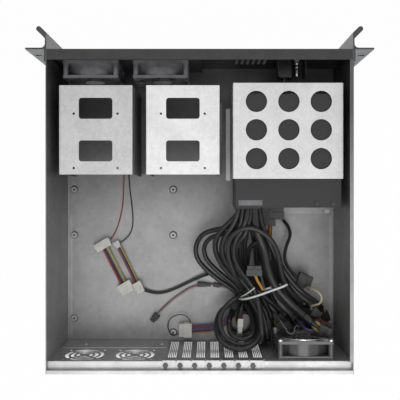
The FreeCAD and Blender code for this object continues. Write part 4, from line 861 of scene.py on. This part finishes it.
# Leads of bare wires: the wires, side by side, with their pitch and radius in millimetres
LEADS = {
    "plug_lead_rear": flat_row("red red yellow red", 1.8, 0.95),
    "plug_lead_top": flat_row("orange yellow orange yellow", 1.9, 0.95, 2),
    "adapter_leads_a": flat_row("straw straw blue black red rose", 1.85, 0.95),
    "adapter_leads_b": flat_row("yellow black purple rose", 1.9, 0.95),
    "drive_lead": flat_row("black black", 2.4, 1.25),
    "sensor_lead": flat_row("pale rose", 2.0, 1.0),
    "rear_leads": flat_row("orange black blue purple red blue", 2.4, 0.95),
    "jumper_lead": flat_row("black", 1.0, 0.8),
    "signal_lead": flat_row("straw white", 1.7, 0.8),
    "rear_fan_lead": flat_row("rose red", 1.5, 0.65),
    "white_lead": flat_row("pale", 1.0, 0.62),
    "blue_lead": flat_row("blue purple", 1.7, 0.85),
}

# The wires that show between the end of a sleeve and its plug; the cables not named here have black ones
ALL_BLACK = "black black black black"
POWER_PAIRS = "yellow black yellow black"
BARE_ENDS = {
    "board_cable": "straw yellow orange straw orange yellow straw",
    "main_cable": "orange yellow orange yellow orange rose",
    "arch_cable": "yellow white black yellow",
    "processor_cable_a": "yellow green yellow black",
    "processor_cable_b": POWER_PAIRS,
    "graphics_cable_b": POWER_PAIRS,
    "supply_cable_a": POWER_PAIRS,
    "supply_cable_b": POWER_PAIRS,
    "supply_cable_c": "yellow green yellow black",
    "supply_cable_d": "red yellow blue black",
    "under_cable_b": "black yellow black green",
    "side_cable": "yellow orange yellow black",
    "drive_cable_b": "red black yellow black",
    "loop_cable": "blue purple blue black",
}
# Where the collar and the bare wires begin and end, in metres from the far end of the cable
COLLAR_SPAN = (0.030, 0.014)
BARE_SPAN = (0.017, -0.001)
# In shares of the sleeve's radius: the collar's radius, the width of the row of wires, how far every
# second wire stands up, and the thickest wire; then how the row widens from the collar to the plug
COLLAR_OVER, ROW_WIDTH, STAGGER, WIRE_SHARE = 1.05, 2.1, 0.25, 0.3
ROW_START, ROW_GROWTH = 0.75, 0.45


def end_part(line, start, stop):
    """The part of a line that lies between two distances from its far end."""
    kept, gone = [], 0.0
    for a, b in zip(reversed(line), list(reversed(line))[1:]):
        if stop <= gone <= start:
            kept.append(a)
        gone += (b - a).length
    return list(reversed(kept))


def bare_end(name, line, diameter):
    """The shrunk collar that holds the end of the sleeve, and the wires that fan out of it to the plug."""
    radius = diameter * MM / 2
    tube = [(0, 0, radius * COLLAR_OVER, shrink_tube)]
    collar = wire_ribbon(name + "_collar", end_part(line, *COLLAR_SPAN), tube, sides=20)
    colours = BARE_ENDS.get(name, ALL_BLACK).split()
    wires = []
    for k, colour in enumerate(colours):
        across = (k - (len(colours) - 1) / 2) * radius * ROW_WIDTH / len(colours)
        upward = (STAGGER if k % 2 else -STAGGER) * radius
        wires.append((across, upward, min(0.95 * MM, radius * WIRE_SHARE), WIRES[colour]))
    bare = wire_ribbon(name + "_wires", end_part(line, *BARE_SPAN), wires,
                       fan=lambda t: ROW_START + ROW_GROWTH * t)
    return [on_case(collar), on_case(bare)]


for name, (diameter, length, ends, corners) in ROUTES.items():
    points = [place(*corner) for corner in corners]
    line = spline_line(points)
    extras = []
    if name in LEADS:
        cable = wire_ribbon(name + "_wires", line, LEADS[name])
    elif name in VINYL:
        cable = curve_piece(name + "_vinyl", points, diameter * MM / 2, WIRES[VINYL[name]])
    else:
        run = sum((b - a).length for a, b in zip(line, line[1:]))
        finish = braided_sleeve(name + "_sleeve", run / MM, diameter)
        cable = curve_piece(name + "_sleeved", points, diameter * MM / 2, finish, narrow=True)
        extras = bare_end(name, line, diameter)
    on_case(cable)
    if name in nodes:
        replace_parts(cable, name)

# The label's section as (radius, lift) in millimetres: flat underneath, a rolled edge, a slight dome
LABEL_SECTION = ((14.2, 0.0), (14.2, 0.16), (13.9, 0.22), (8.0, 0.26), (2.0, 0.28))
LABEL_SIDES = 48


def motor_label(name, x, depth, z):
    """The plain foil disc on the back of a fan's motor: slightly domed, with a rolled edge."""
    mesh = bmesh.new()
    rings = []
    for radius, lift in LABEL_SECTION:
        turns = [2 * math.pi * k / LABEL_SIDES for k in range(LABEL_SIDES)]
        rings.append([mesh.verts.new(place(x + radius * math.cos(turn), depth + lift, z + radius * math.sin(turn)))
                      for turn in turns])
    skin(mesh, rings)
    mesh.faces.new(rings[-1])
    mesh.faces.new(reversed(rings[0]))
    bmesh.ops.recalc_face_normals(mesh, faces=list(mesh.faces))
    on_case(mesh_piece(name, mesh, label_foil))


motor_label("front_fan_label_a", 156.0, 35.5, 67.0)
motor_label("front_fan_label_b", 56.0, 35.5, 67.0)

# The bare plate on the power supply's cover: its two corners and its rivets, in millimetres
PLATE_CORNERS = ((-88.0, 209.5), (-54.5, 217.0))
PLATE_SINK, PLATE_RISE, PLATE_ROUND = 0.2 * MM, 0.5 * MM, 0.3 * MM
RIVETS = ((-86.7, 213.25), (-56.3, 213.25))


def cover_plate():
    """The bare plate riveted to the power supply's cover: a thin sheet with rounded edges."""
    mesh = bmesh.new()
    cover = nodes["psu_cover"]
    top = max((cover.matrix_world @ Vector(corner)).z for corner in cover.bound_box)
    low, high = [place(x, depth, 0) for x, depth in PLATE_CORNERS]
    box_into(mesh, (low.x, low.y, top - PLATE_SINK), (high.x, high.y, top + PLATE_RISE))
    bmesh.ops.bevel(mesh, geom=list(mesh.edges), offset=PLATE_ROUND, segments=2, affect="EDGES")
    for x, depth in RIVETS:
        at = place(x, depth, 0)
        bmesh.ops.create_uvsphere(mesh, u_segments=16, v_segments=8, radius=1.1 * MM,
                                  matrix=Matrix.Translation((at.x, at.y, top + 0.3 * MM)))
    on_case(mesh_piece("cover_plate", mesh, plate_metal))


cover_plate()


# Soft, even light: a pale world and two broad lamps over the case
def area_lamp(name, at, size, power, aim=(0, 0, 0.05)):
    data = bpy.data.lights.new(name, "AREA")
    data.shape = "RECTANGLE"
    data.size, data.size_y = size
    data.energy = power
    lamp = link(bpy.data.objects.new(name, data))
    lamp.location = at
    lamp.rotation_euler = (Vector(aim) - Vector(at)).to_track_quat("-Z", "Y").to_euler()


area_lamp("overhead_softbox", (-0.1, 0.8, 1.5), (1.1, 1.1), 10)
area_lamp("front_softbox", (-0.2, -1.3, 0.6), (1.0, 0.6), 4.5)


def white_world():
    """A pale world that lights the case softly and shows plain white behind it."""
    world = bpy.data.worlds.new("studio")
    world.use_nodes = True
    tree = world.node_tree
    tree.nodes.clear()
    path = add(tree, "LightPath").outputs
    seen = add(tree, "Math", {0: path["Is Camera Ray"], 1: path["Is Transmission Ray"]}, operation="MAXIMUM")
    seen = add(tree, "Math", {0: seen, 1: path["Is Glossy Ray"]}, operation="MAXIMUM")
    light = add(tree, "Background", {"Color": (0.8, 0.8, 0.8, 1.0), "Strength": 0.37})
    backdrop = add(tree, "Background", {"Color": (1.0, 1.0, 1.0, 1.0), "Strength": 1.0})
    add(tree, "OutputWorld", {"Surface": add(tree, "MixShader", {"Fac": seen, 1: light, 2: backdrop})})
    return world


scene.world = white_world()

# The floor's shaded zone under the case, in metres: where it turns white at the sides, in front and behind
ZONE_SIDES = (0.216, 0.222)
ZONE_FRONT = (-0.226, -0.232)
ZONE_REAR = (0.243, 0.258)
FLOOR_HALF = 3.0
FLOOR_DROP = 0.0005


def table_top():
    """A broad matt white sheet under the case: white to the camera, with a painted grey shadow where the case stands
    on it.
    """
    material, tree = new_tree("white_floor")
    path = add(tree, "LightPath").outputs
    seen = add(tree, "Math", {0: path["Is Camera Ray"], 1: path["Is Glossy Ray"]}, operation="MAXIMUM")
    edges = add(tree, "SeparateXYZ", {"Vector": metres(tree)}).outputs
    sides = add(tree, "Math", {0: edges["X"]}, operation="ABSOLUTE")
    clear = spread(tree, sides, 0.0, 1.0, *ZONE_SIDES)
    for zone in (ZONE_FRONT, ZONE_REAR):
        past = spread(tree, edges["Y"], 0.0, 1.0, *zone)
        clear = add(tree, "Math", {0: clear, 1: past}, operation="MAXIMUM")
    clear = spread(tree, clear, 0.0, 0.985)
    part_white = add(tree, "Math", {0: seen, 1: clear}, operation="MULTIPLY")
    grain = add(tree, "TexNoise", {"Vector": metres(tree), "Scale": 300.0, "Detail": 2.0})
    grain_and_painted_shadow = add(tree, "Math", {0: grain, 1: 0.1, 2: clear}, operation="MULTIPLY_ADD")
    # painted shadow: inside the zone the floor's colour is a darker grey, and it darkens further in front of the
    # case
    shade = dimmed(tree, ramp(tree, grain_and_painted_shadow, [(0.05, "a4a4a4"), (0.8, "f0f0f0")]), [("Y", 0.2, 1.0, -0.2, -0.15)])
    matt = add(tree, "BsdfPrincipled", {"Base Color": shade, "Roughness": 0.9})
    glow = add(tree, "Emission", {"Color": (1.0, 1.0, 1.0, 1.0), "Strength": 1.0})
    add(tree, "OutputMaterial", {"Surface": add(tree, "MixShader", {"Fac": part_white, 1: matt, 2: glow})})
    low = cad_box[0][2] - FLOOR_DROP
    corners = [(x * FLOOR_HALF, y * FLOOR_HALF, low) for x, y in ((-1, -1), (1, -1), (1, 1), (-1, 1))]
    add_mesh("white_floor", corners, [(0, 1, 2, 3)], [material], flat=True)


table_top()
scene.view_settings.view_transform = "Standard"
